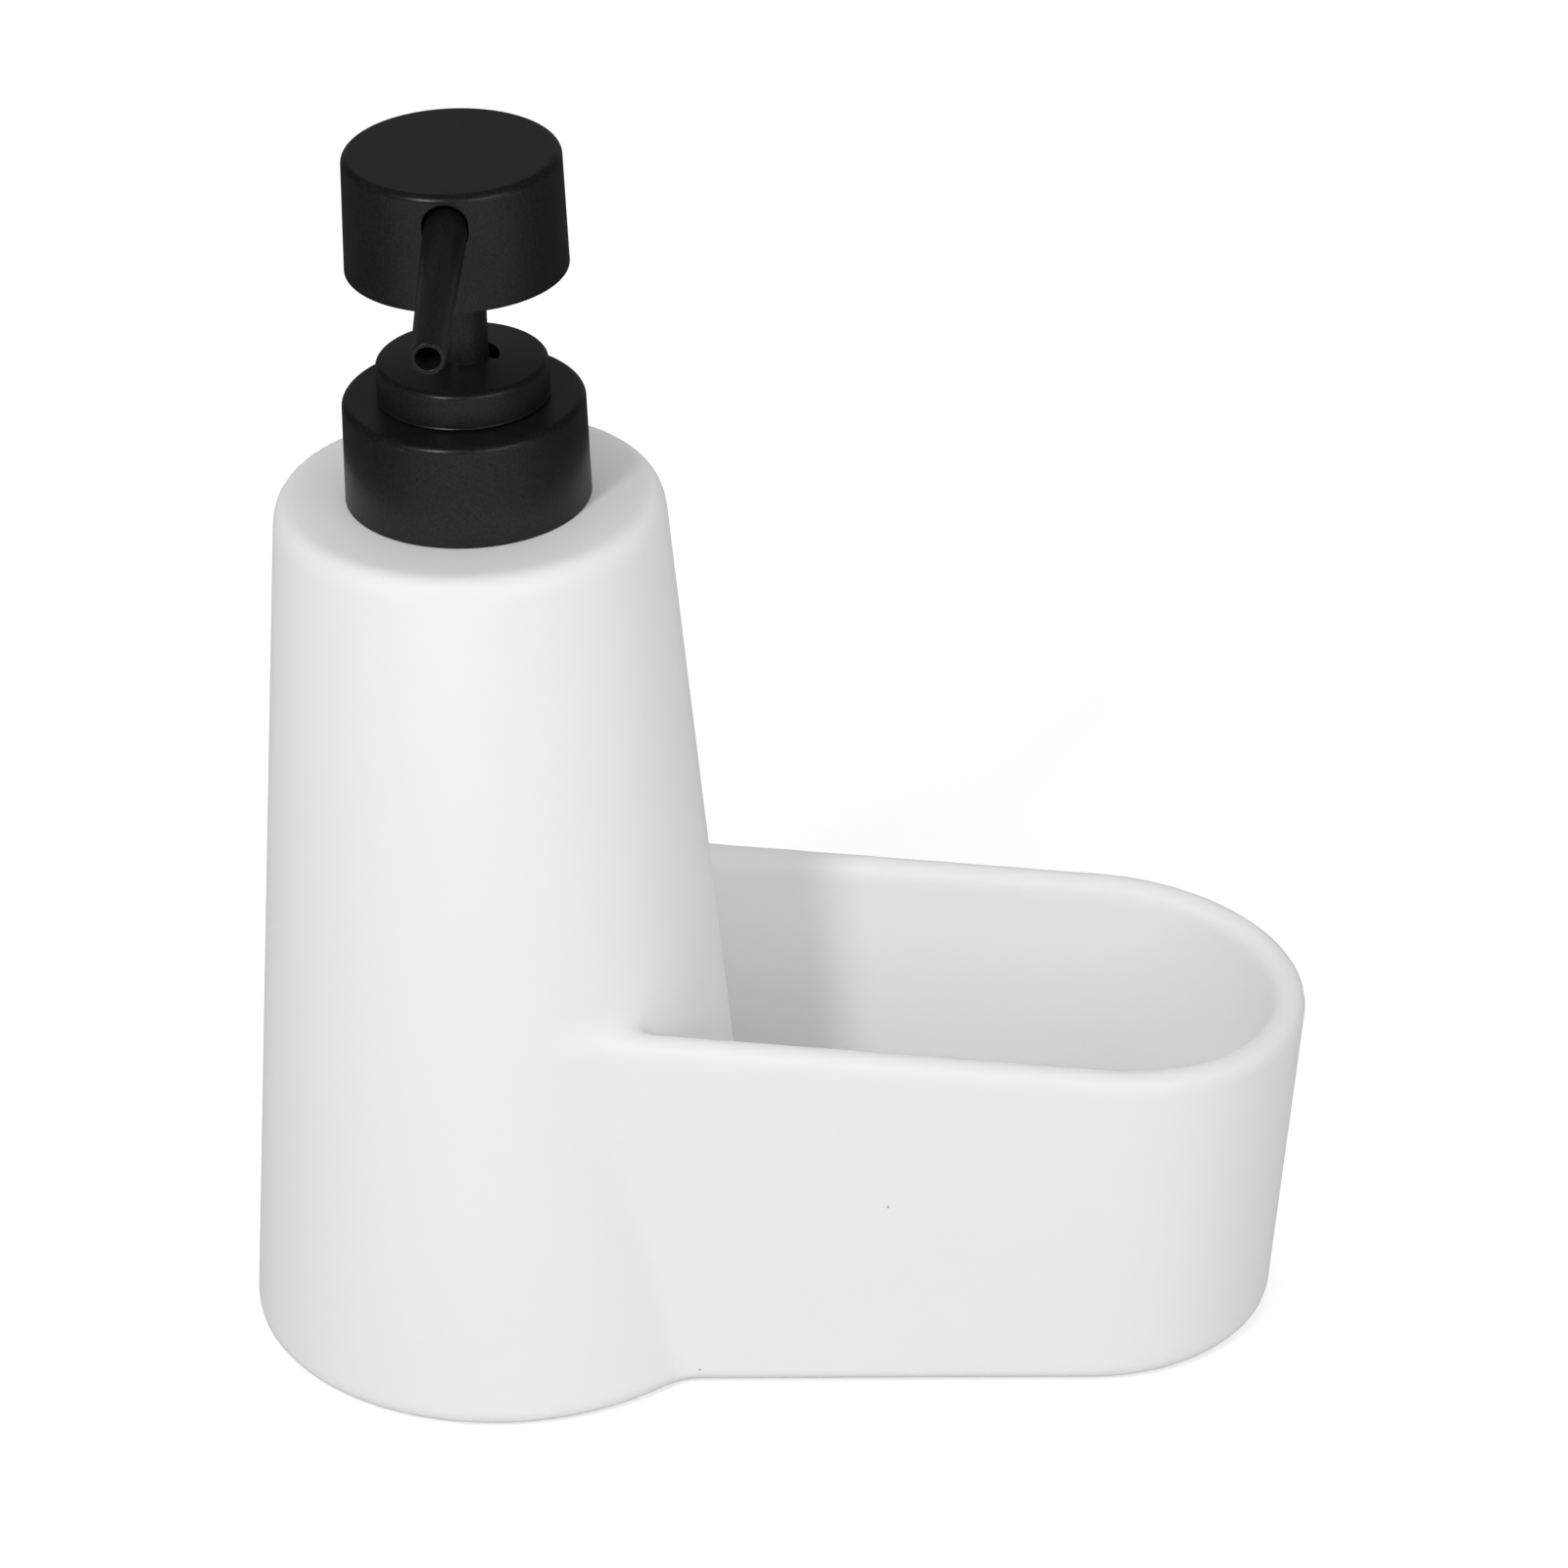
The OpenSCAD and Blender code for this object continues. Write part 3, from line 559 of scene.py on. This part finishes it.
def spin(name, points, closed=False, segments=160):
    # An outline that isn't closed starts and ends on the axis
    outline = filletOutline(points + points[:1] if closed else points)
    if closed:
        outline = outline[:-1]
    form = bmesh.new()
    rings = []
    for radius, height in outline:
        if radius < outlineRules["onAxis"]:
            rings.append([form.verts.new((0, 0, height))])
            continue
        rings.append([
            form.verts.new((radius * math.cos(a), radius * math.sin(a), height))
            for a in (2 * math.pi * k / segments for k in range(segments))])
    following = rings[1:] + (rings[:1] if closed else [])
    for first, second in zip(rings, following):
        for k in range(segments):
            n = (k + 1) % segments
            corners = [first[k % len(first)], first[n % len(first)],
                       second[n % len(second)], second[k % len(second)]]
            kept = list(dict.fromkeys(corners))
            if len(kept) > 2:
                form.faces.new(kept)
    bmesh.ops.recalc_face_normals(form, faces=form.faces)
    mesh = bpy.data.meshes.new(name)
    form.to_mesh(mesh)
    form.free()
    return meshObject(name, mesh)


def finishShading(piece, sharp=38):
    mesh = piece.data
    mesh.shade_smooth()
    mesh.set_sharp_from_angle(angle=math.radians(sharp))


def combine(piece, other, operation):
    change = piece.modifiers.new("combine", "BOOLEAN")
    change.operation = operation
    change.solver = "EXACT"
    change.object = other
    bakeModifiers(piece)
    mesh = other.data
    bpy.data.objects.remove(other)
    bpy.data.meshes.remove(mesh)


# Collar

collar = {
    "topRadius": 18.7 * mm,
    "topRound": 1.1 * mm,
    "footRound": 0.2 * mm,
    "plate": 1.2 * mm,
    "boreRadius": 17.35 * mm,
    "holeRadius": 10.7 * mm,
    "segments": 192,
}


def makeCollar():
    low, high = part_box("collar_shroud")
    size = collar
    piece = spin("collarSleeve", [
        (high.x, low.z, size["footRound"]),
        (size["topRadius"], high.z, size["topRound"]),
        (size["holeRadius"], high.z, size["footRound"]),
        (size["holeRadius"], high.z - size["plate"]),
        (size["boreRadius"], high.z - size["plate"], size["footRound"]),
        (size["boreRadius"], low.z),
    ], closed=True, segments=size["segments"])
    finishShading(piece)
    settle(piece, "collar_shroud")


makeCollar()

# Lock ring, with its guide sleeve below and the keyway beside the stem

lockRing = {
    "crown": 0.6 * mm,
    "edgeRound": 0.9 * mm,
    "footRound": 0.2 * mm,
    "footLip": 0.1 * mm,
    "footLipHeight": 0.12 * mm,
    "footLipTop": 0.26 * mm,
    "lift": 0.45 * mm,
    "plate": 2.2 * mm,
    "gripRadius": 10.45 * mm,
    "sleeveRadius": 6.95 * mm,
    "stemHole": 4.21 * mm,
    "keyRadius": 5.8 * mm,
    "keyDepth": 2.0 * mm,
    "keyTurn": 22,
    "keySpan": 76,
    "keyRound": 0.7 * mm,
    "keyCornerSteps": 6,
    "keyArcSteps": 24,
    "keyClearance": 1 * mm,
    "segments": 160,
    "sharp": 32,
}


def prism(name, outline, low, high):
    # An upright bar with the given outline
    form = bmesh.new()
    near, far = ([form.verts.new((x, y, z)) for x, y in outline] for z in (low, high))
    form.faces.new(near)
    form.faces.new(far)
    for k in range(len(near)):
        n = (k + 1) % len(near)
        form.faces.new((near[k], near[n], far[n], far[k]))
    bmesh.ops.recalc_face_normals(form, faces=form.faces)
    mesh = bpy.data.meshes.new(name)
    form.to_mesh(mesh)
    form.free()
    return meshObject(name, mesh)


def keywayOutline(size):
    # From the axis out to an arc, with its two outer corners rounded
    radius, small = size["keyRadius"], size["keyRound"]
    turn, half = math.radians(size["keyTurn"]), math.radians(size["keySpan"] / 2)
    inset = math.asin(small / (radius - small))
    reach, sweep = half - inset, math.pi / 2 + inset
    cornerSteps, arcSteps = size["keyCornerSteps"], size["keyArcSteps"]

    def corner(side):
        middle = Vector((radius - small, 0))
        middle.rotate(Matrix.Rotation(turn + side * reach, 2))
        angles = [turn + side * (reach + sweep * (1 - k / cornerSteps)) for k in range(cornerSteps + 1)]
        return [(middle.x + small * math.cos(a), middle.y + small * math.sin(a)) for a in angles]

    angles = [turn + reach * (2 * k / arcSteps - 1) for k in range(1, arcSteps)]
    arc = [(radius * math.cos(a), radius * math.sin(a)) for a in angles]
    return [(0, 0), *corner(-1), *arc, *corner(1)[::-1]]


def makeLockRing():
    low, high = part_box("lock_ring")
    size = lockRing
    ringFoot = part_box("collar_shroud")[1].z + size["lift"]
    edge = high.z - size["crown"]
    under = edge - size["plate"]
    piece = spin("lockRing", [
        (high.x + size["footLip"], ringFoot),
        (high.x + size["footLip"], ringFoot + size["footLipHeight"]),
        (high.x, ringFoot + size["footLipTop"]),
        (high.x, edge, size["edgeRound"]),
        (size["stemHole"], high.z, size["footRound"]),
        (size["stemHole"], low.z),
        (size["sleeveRadius"], low.z, size["footRound"]),
        (size["sleeveRadius"], under),
        (size["gripRadius"], under),
        (size["gripRadius"], ringFoot),
    ], closed=True, segments=size["segments"])
    keyFoot, keyTop = high.z - size["keyDepth"], high.z + size["keyClearance"]
    combine(piece, prism("keyCutter", keywayOutline(size), keyFoot, keyTop), "DIFFERENCE")
    finishShading(piece, size["sharp"])
    settle(piece, "lock_ring")


makeLockRing()

# Head shell, with the opening that the spout comes through

headShell = {
    "topRadius": 16.65 * mm,
    "edgeRound": 1.2 * mm,
    "footRound": 0.12 * mm,
    "wall": 1.3 * mm,
    "plate": 1.6 * mm,
    "openingMargin": 1.25 * mm,
    "openingStart": 14.35 * mm,
    "openingSteps": 28,
    "segments": 192,
}
spout = {
    "height": 14.0 * mm,
    "droop": 4.1,
    "start": 7.5 * mm,
    "reach": 53.3 * mm,
    "rootRadius": 3.35 * mm,
    "tipRadius": 2.6 * mm,
    "boreRadius": 1.85 * mm,
    "lip": 0.22 * mm,
    "gap": 0.15 * mm,
    "segments": 96,
}


def spoutLine():
    # Turns a piece made along Z so that it runs along the spout
    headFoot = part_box("head_shell")[0].z
    tilt = Matrix.Rotation(math.radians(90 + spout["droop"]), 4, "X")
    return Matrix.Translation((0, 0, headFoot + spout["height"])) @ tilt


def openingCutter(size, high, low):
    # A bar with a round bottom and a round top, along the spout
    radius = spout["rootRadius"] + spout["gap"]
    wallTop = spout["height"] - size["topRadius"] * math.tan(math.radians(spout["droop"])) + radius
    rise = high - low - size["openingMargin"] - wallTop
    steps = size["openingSteps"]
    outline = []
    for k in range(2 * steps + 2):
        a = math.pi * (k - (k > steps)) / steps
        outline.append((radius * math.cos(a), radius * math.sin(a) + (rise if k <= steps else 0)))
    cutter = prism("openingCutter", outline, size["openingStart"], 2 * size["openingStart"])
    cutter.data.transform(spoutLine())
    return cutter


def makeHeadShell():
    low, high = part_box("head_shell")
    size = headShell
    taper = (high.x - size["topRadius"]) * size["plate"] / (high.z - low.z)
    piece = spin("headShell", [
        (0, high.z),
        (size["topRadius"], high.z, size["edgeRound"]),
        (high.x, low.z, size["footRound"]),
        (high.x - size["wall"], low.z, size["footRound"]),
        (size["topRadius"] + taper - size["wall"], high.z - size["plate"], size["footRound"]),
        (0, high.z - size["plate"]),
    ], segments=size["segments"])
    combine(piece, openingCutter(size, high.z, low.z), "DIFFERENCE")
    finishShading(piece)
    settle(piece, "head_shell")


makeHeadShell()


def makeSpout():
    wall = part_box("head_shell")[1].x
    piece = spin("spoutPipe", [
        (spout["rootRadius"], spout["start"]),
        (spout["rootRadius"], wall),
        (spout["tipRadius"], spout["reach"], spout["lip"]),
        (spout["boreRadius"], spout["reach"], spout["lip"]),
        (spout["boreRadius"], spout["start"]),
    ], closed=True, segments=spout["segments"])
    piece.data.transform(spoutLine())
    finishShading(piece)
    settle(piece, "spout_tube")


makeSpout()

# Stem

stem = {
    "boreRadius": 2.2 * mm,
    "endRound": 0.2 * mm,
    "segments": 96,
}


def makeStem():
    low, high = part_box("pump_stem")
    piece = spin("pumpStem", [
        (high.x, low.z, stem["endRound"]),
        (high.x, high.z, stem["endRound"]),
        (stem["boreRadius"], high.z),
        (stem["boreRadius"], low.z),
    ], closed=True, segments=stem["segments"])
    finishShading(piece)
    settle(piece, "pump_stem")


makeStem()
print("black pieces made")


# Wound pieces: a cross-section carried along a helix, whose end turns may have their own pitch

def ridgeProfile(tree, given):
    corners = []
    for reach, width, side in (("sunk", "rootWidth", -1), ("rise", "crestWidth", -1),
                               ("rise", "crestWidth", 1), ("sunk", "rootWidth", 1)):
        half = mathNode(tree, "MULTIPLY", given[width], 0.5 * side)
        corners.append(addNode(tree, "ShaderNodeCombineXYZ", {}, {"X": given[reach], "Y": half}).outputs[0])
    links = {"Point %d" % (k + 1): corner for k, corner in enumerate(corners)}
    return addNode(tree, "GeometryNodeCurvePrimitiveQuadrilateral", {}, links, mode="POINTS").outputs[0]


wireSides = 12


def wireProfile(tree, given):
    circle = addNode(tree, "GeometryNodeCurvePrimitiveCircle", {"Resolution": wireSides},
                     {"Radius": given["wireRadius"]})
    return circle.outputs[0]


def windingTree(name, sizes, profile, ringsPerTurn):
    tree, given = startTree(name, sizes)
    op = arithmetic(tree, given)
    line = tree.nodes.new("GeometryNodeCurvePrimitiveLine")
    rings = addNode(tree, "GeometryNodeResampleCurve",
                    {"Count": round(sizes["turns"] * ringsPerTurn) + 1}, {"Curve": line.outputs[0]})
    share = tree.nodes.new("GeometryNodeSplineParameter").outputs["Factor"]
    turns = op("MULTIPLY", share, "turns")
    lastTurn = op("SUBTRACT", "turns", "endTurns")
    middle = op("SUBTRACT", op("MINIMUM", op("MAXIMUM", turns, "endTurns"), lastTurn), "endTurns")
    ends = op("ADD", op("MINIMUM", turns, "endTurns"), op("MAXIMUM", op("SUBTRACT", turns, lastTurn), 0.0))
    climb = op("ADD", op("MULTIPLY", middle, "pitch"), op("MULTIPLY", ends, "endPitch"))
    angle = op("MULTIPLY", turns, 2 * math.pi)
    spot = addNode(tree, "ShaderNodeCombineXYZ", {}, {
        "X": op("MULTIPLY", op("COSINE", angle), "radius"),
        "Y": op("MULTIPLY", op("SINE", angle), "radius"),
        "Z": op("ADD", "start", climb)})
    wound = addNode(tree, "GeometryNodeSetPosition", {},
                    {"Geometry": rings.outputs[0], "Position": spot.outputs[0]})
    upright = addNode(tree, "GeometryNodeSetCurveNormal", {}, {"Curve": wound.outputs[0]}, mode="Z_UP")
    # the section grows in over the first part of the winding and fades over the last
    fade = op("MINIMUM", op("MINIMUM", op("DIVIDE", share, "fadeShare"), 1.0),
              op("DIVIDE", op("SUBTRACT", 1.0, share), "fadeShare"))
    size = op("MAXIMUM", fade, "leastScale")
    skin = addNode(tree, "GeometryNodeCurveToMesh", {"Fill Caps": True},
                   {"Curve": upright.outputs[0], "Profile Curve": profile(tree, given), "Scale": size})
    endTree(tree, skin.outputs[0], given)
    return tree


def makeWinding(name, sizes, profile, ringsPerTurn, finish):
    piece = meshObject(name, bpy.data.meshes.new(name))
    tree = windingTree(name, sizes, profile, ringsPerTurn)
    applyTree(piece, tree, dict(sizes, finish=finishes[finish]))
    return piece


neck = {
    "outerRadius": 13.1 * mm,
    "boreRadius": 11.6 * mm,
    "tubeRadius": 15.55 * mm,
    "flange": 1.4 * mm,
    "lip": 0.25 * mm,
    "segments": 144,
    "sharp": 30,
    "threadRings": 72,
}
neckThread = {
    "turns": 1.5,
    "pitch": 3.2 * mm,
    "endTurns": 0.0,
    "endPitch": 0.0,
    "rootWidth": 1.9 * mm,
    "crestWidth": 0.9 * mm,
    "rise": 0.9 * mm,
    "sunk": -0.45 * mm,
    "fadeShare": 0.12,
    "leastScale": 0.08,
}


def makeNeck():
    low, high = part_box("neck_insert")
    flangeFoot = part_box("neck_seal")[1].z
    flangeTop = flangeFoot + neck["flange"]
    piece = spin("neckInsert", [
        (neck["tubeRadius"], low.z, neck["lip"]),
        (neck["tubeRadius"], flangeFoot),
        (high.x, flangeFoot, neck["lip"]),
        (high.x, flangeTop, neck["lip"]),
        (neck["outerRadius"], flangeTop),
        (neck["outerRadius"], high.z, neck["lip"]),
        (neck["boreRadius"], high.z, neck["lip"]),
        (neck["boreRadius"], low.z, neck["lip"]),
    ], closed=True, segments=neck["segments"])
    spare = high.z - flangeTop - neckThread["pitch"] * neckThread["turns"]
    sizes = dict(neckThread, radius=neck["outerRadius"], start=flangeTop + spare / 2)
    ridge = makeWinding("neckThread", sizes, ridgeProfile, neck["threadRings"], "milky_plastic")
    combine(piece, ridge, "UNION")
    finishShading(piece, neck["sharp"])
    settle(piece, "neck_insert")


spring = {
    "turns": 9.0,
    "radius": 5.0 * mm,
    "wireRadius": 0.45 * mm,
    "endTurns": 1.0,
    "endPitch": 1.4 * mm,
    "fadeShare": 0.0001,
    "leastScale": 1.0,
}
springFit = {  # how the spring stands between its seats
    "play": 0.06 * mm,
    "stroke": 14 * mm,
    "ringsPerTurn": 40,
}


def makeSpring():
    low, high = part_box("return_spring")
    free = high.z - low.z
    wound = free - springFit["play"] - 2 * spring["wireRadius"] - 2 * spring["endPitch"]
    pitch = wound / (spring["turns"] - 2)
    sizes = dict(spring, pitch=pitch, start=low.z + spring["wireRadius"])
    piece = makeWinding("returnSpring", sizes, wireProfile, springFit["ringsPerTurn"], "steel")
    settle(piece, "return_spring")
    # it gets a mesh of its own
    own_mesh(piece)


makeNeck()
makeSpring()
print("wound pieces made")


# Pieces whose CAD shape is right: a merged, smoothly shaded copy takes the node's place

smoothing = {
    "merge": 0.001 * mm,
    "crumb": 0.0005 * mm,
    "sharp": 28,
}


def smoothCopy(node, name):
    mesh = frame["nodes"][node].data.copy()
    mesh.name = name
    form = bmesh.new()
    form.from_mesh(mesh)
    bmesh.ops.remove_doubles(form, verts=form.verts, dist=smoothing["merge"])
    bmesh.ops.dissolve_degenerate(form, edges=form.edges, dist=smoothing["crumb"])
    form.to_mesh(mesh)
    form.free()
    if "custom_normal" in mesh.attributes:
        mesh.attributes.remove(mesh.attributes["custom_normal"])
    piece = meshObject(name, mesh)
    finishShading(piece, smoothing["sharp"])
    settle(piece, node)


copied = {
    "neck_seal": "neckSeal",
    "foot_pads": "footPads",
    "screw_cap": "screwCap",
    "neck_gasket": "neckGasket",
    "pump_housing": "pumpHousing",
    "stem_wiper": "stemWiper",
    "dip_tube": "dipTube",
    "head_core": "headCore",
    "ball_cage": "ballCage",
    "piston_seal": "pistonSeal",
    "valve_plug": "valvePlug",
}
for node, name in copied.items():
    smoothCopy(node, name)

# The check ball keeps its CAD mesh and gets the steel finish
ball = frame["nodes"]["check_ball"].data
ball.materials.clear()
ball.materials.append(finishes[slotOf["check_ball"]])
print("inner pieces dressed")


# Floor, backdrop and light. Spread, turn, top and farFloor are where a fade starts and ends: metres on the
# floor, and parts of the direction in the sky. InGloss says how bright a thing is in reflections

studio = {
    "floorSize": 8.0,
    "floorColour": (0.8, 0.8, 0.8),
    "floorLift": (0.5, 1.0),
    "liftSpread": (0.45, 1.3),
    "skyStrength": (0.465, 0.8),
    "skyTurn": (0.05, 0.95),
    "skyInGloss": 0.02,
    "backdropInGloss": 0.26,
    "backdropTurn": (0.8, 0.9),
    "backdropTop": (0.6, 0.4),
    "farFloor": (0.8, 1.6),
    "floorInGloss": (0.85, 0.15),
    "floorTurn": (-0.4, -0.1),
    "floorSlant": -0.08,
    "target": (0.03, 0.0, 0.09),
}
lamps = {
    "keyLight": {
        "azimuth": -28, "height": 38, "distance": 1.5, "width": 0.2, "tall": 0.5, "share": 0.33},
    "frontLight": {
        "azimuth": 36, "height": 24, "distance": 1.6, "width": 1.1, "tall": 1.0, "share": 0.22},
}


def fadeIn(tree, value, ends):
    ramp = addNode(tree, "ShaderNodeMapRange", {"From Min": ends[0], "From Max": ends[1]}, {"Value": value},
                   interpolation_type="SMOOTHSTEP")
    return ramp.outputs[0]


def seenAsBackground(tree, path, backdrop):
    # 1 for the camera and through clear things, and less in reflections where the backdrop is
    straight = mathNode(tree, "MAXIMUM", path.outputs["Is Camera Ray"], path.outputs["Is Transmission Ray"])
    dimmed = mathNode(tree, "MULTIPLY", backdrop, studio["backdropInGloss"])
    mirrored = mathNode(tree, "MULTIPLY", path.outputs["Is Glossy Ray"], dimmed)
    return mathNode(tree, "MAXIMUM", straight, mirrored)


def makeFloor():
    half = studio["floorSize"] / 2
    form = bmesh.new()
    corners = ((-half, -half), (half, -half), (half, half), (-half, half))
    form.faces.new([form.verts.new((x, y, 0)) for x, y in corners])
    mesh = bpy.data.meshes.new("floor")
    form.to_mesh(mesh)
    form.free()
    floor = meshObject("floor", mesh)
    material = bpy.data.materials.new("paleFloor")
    material.use_nodes = True
    tree = material.node_tree
    tree.nodes.clear()
    path = tree.nodes.new("ShaderNodeLightPath")
    place = tree.nodes.new("ShaderNodeTexCoord").outputs["Object"]
    x, y = addNode(tree, "ShaderNodeSeparateXYZ", {}, {"Vector": place}).outputs[:2]
    slanted = mathNode(tree, "ADD", y, mathNode(tree, "MULTIPLY", x, studio["floorSlant"]))
    front, back = studio["floorInGloss"]
    dimming = addNode(tree, "ShaderNodeMapRange", {"To Min": 1 - front, "To Max": 1 - back},
                      {"Value": fadeIn(tree, slanted, studio["floorTurn"])})
    shade = addNode(tree, "ShaderNodeMix", {6: (*studio["floorColour"], 1), 7: (0, 0, 0, 1)},
                    {0: mathNode(tree, "MULTIPLY", path.outputs["Is Glossy Ray"], dimming.outputs[0])},
                    data_type="RGBA")
    diffuse = addNode(tree, "ShaderNodeBsdfDiffuse", {}, {"Color": shade.outputs[2]})
    glow = addNode(tree, "ShaderNodeEmission")
    seen = seenAsBackground(tree, path, fadeIn(tree, y, studio["farFloor"]))
    # far from the object the floor fades into the white behind it
    away = addNode(tree, "ShaderNodeVectorMath", {}, {0: place}, operation="LENGTH")
    near, far = studio["floorLift"]
    lift = addNode(tree, "ShaderNodeMapRange", {"To Min": near, "To Max": far},
                   {"Value": fadeIn(tree, away.outputs["Value"], studio["liftSpread"])})
    tree.links.new(mathNode(tree, "MULTIPLY", seen, lift.outputs[0]), glow.inputs["Strength"])
    both = tree.nodes.new("ShaderNodeAddShader")
    tree.links.new(diffuse.outputs[0], both.inputs[0])
    tree.links.new(glow.outputs[0], both.inputs[1])
    output = tree.nodes.new("ShaderNodeOutputMaterial")
    tree.links.new(both.outputs[0], output.inputs["Surface"])
    mesh.materials.append(material)


def makeSky():
    world = bpy.data.worlds.new("studioSky")
    bpy.context.scene.world = world
    world.use_nodes = True
    tree = world.node_tree
    tree.nodes.clear()
    path = tree.nodes.new("ShaderNodeLightPath")
    direction = tree.nodes.new("ShaderNodeTexCoord").outputs["Generated"]
    y, z = addNode(tree, "ShaderNodeSeparateXYZ", {}, {"Vector": direction}).outputs[1:]
    backdrop = mathNode(tree, "MULTIPLY", fadeIn(tree, y, studio["backdropTurn"]),
                        fadeIn(tree, z, studio["backdropTop"]))
    # the sky is brighter behind the object, where no lamp stands
    front, behind = studio["skyStrength"]
    dome = addNode(tree, "ShaderNodeMapRange", {"To Min": front, "To Max": behind},
                   {"Value": fadeIn(tree, y, studio["skyTurn"])})
    plain = addNode(tree, "ShaderNodeMapRange", {"To Max": studio["skyInGloss"]},
                    {"Value": path.outputs["Is Glossy Ray"], "To Min": dome.outputs[0]})
    strength = addNode(tree, "ShaderNodeMapRange", {"To Max": 1.0},
                       {"Value": seenAsBackground(tree, path, backdrop), "To Min": plain.outputs[0]})
    sky = addNode(tree, "ShaderNodeBackground", {"Color": (1, 1, 1, 1)}, {"Strength": strength.outputs[0]})
    output = tree.nodes.new("ShaderNodeOutputWorld")
    tree.links.new(sky.outputs[0], output.inputs["Surface"])


def makeLamp(name, lamp):
    # share is the part of full white that the lamp gives to a surface that faces it
    azimuth, height = math.radians(lamp["azimuth"]), math.radians(lamp["height"])
    level = math.cos(height)
    towards = Vector((math.sin(azimuth) * level, -math.cos(azimuth) * level, math.sin(height)))
    light = bpy.data.lights.new(name, "AREA")
    light.shape = "RECTANGLE"
    light.size = lamp["width"]
    light.size_y = lamp["tall"]
    light.energy = lamp["share"] * (math.pi * lamp["distance"]) ** 2
    holder = bpy.data.objects.new(name, light)
    place = Vector(studio["target"]) + towards * lamp["distance"]
    turn = towards.to_track_quat("Z", "Y").to_matrix().to_4x4()
    holder.matrix_world = Matrix.Translation(place) @ turn
    bpy.context.collection.objects.link(holder)


makeFloor()
makeSky()
for name, lamp in lamps.items():
    makeLamp(name, lamp)
bpy.context.scene.view_settings.view_transform = "Standard"
print("studio lit")
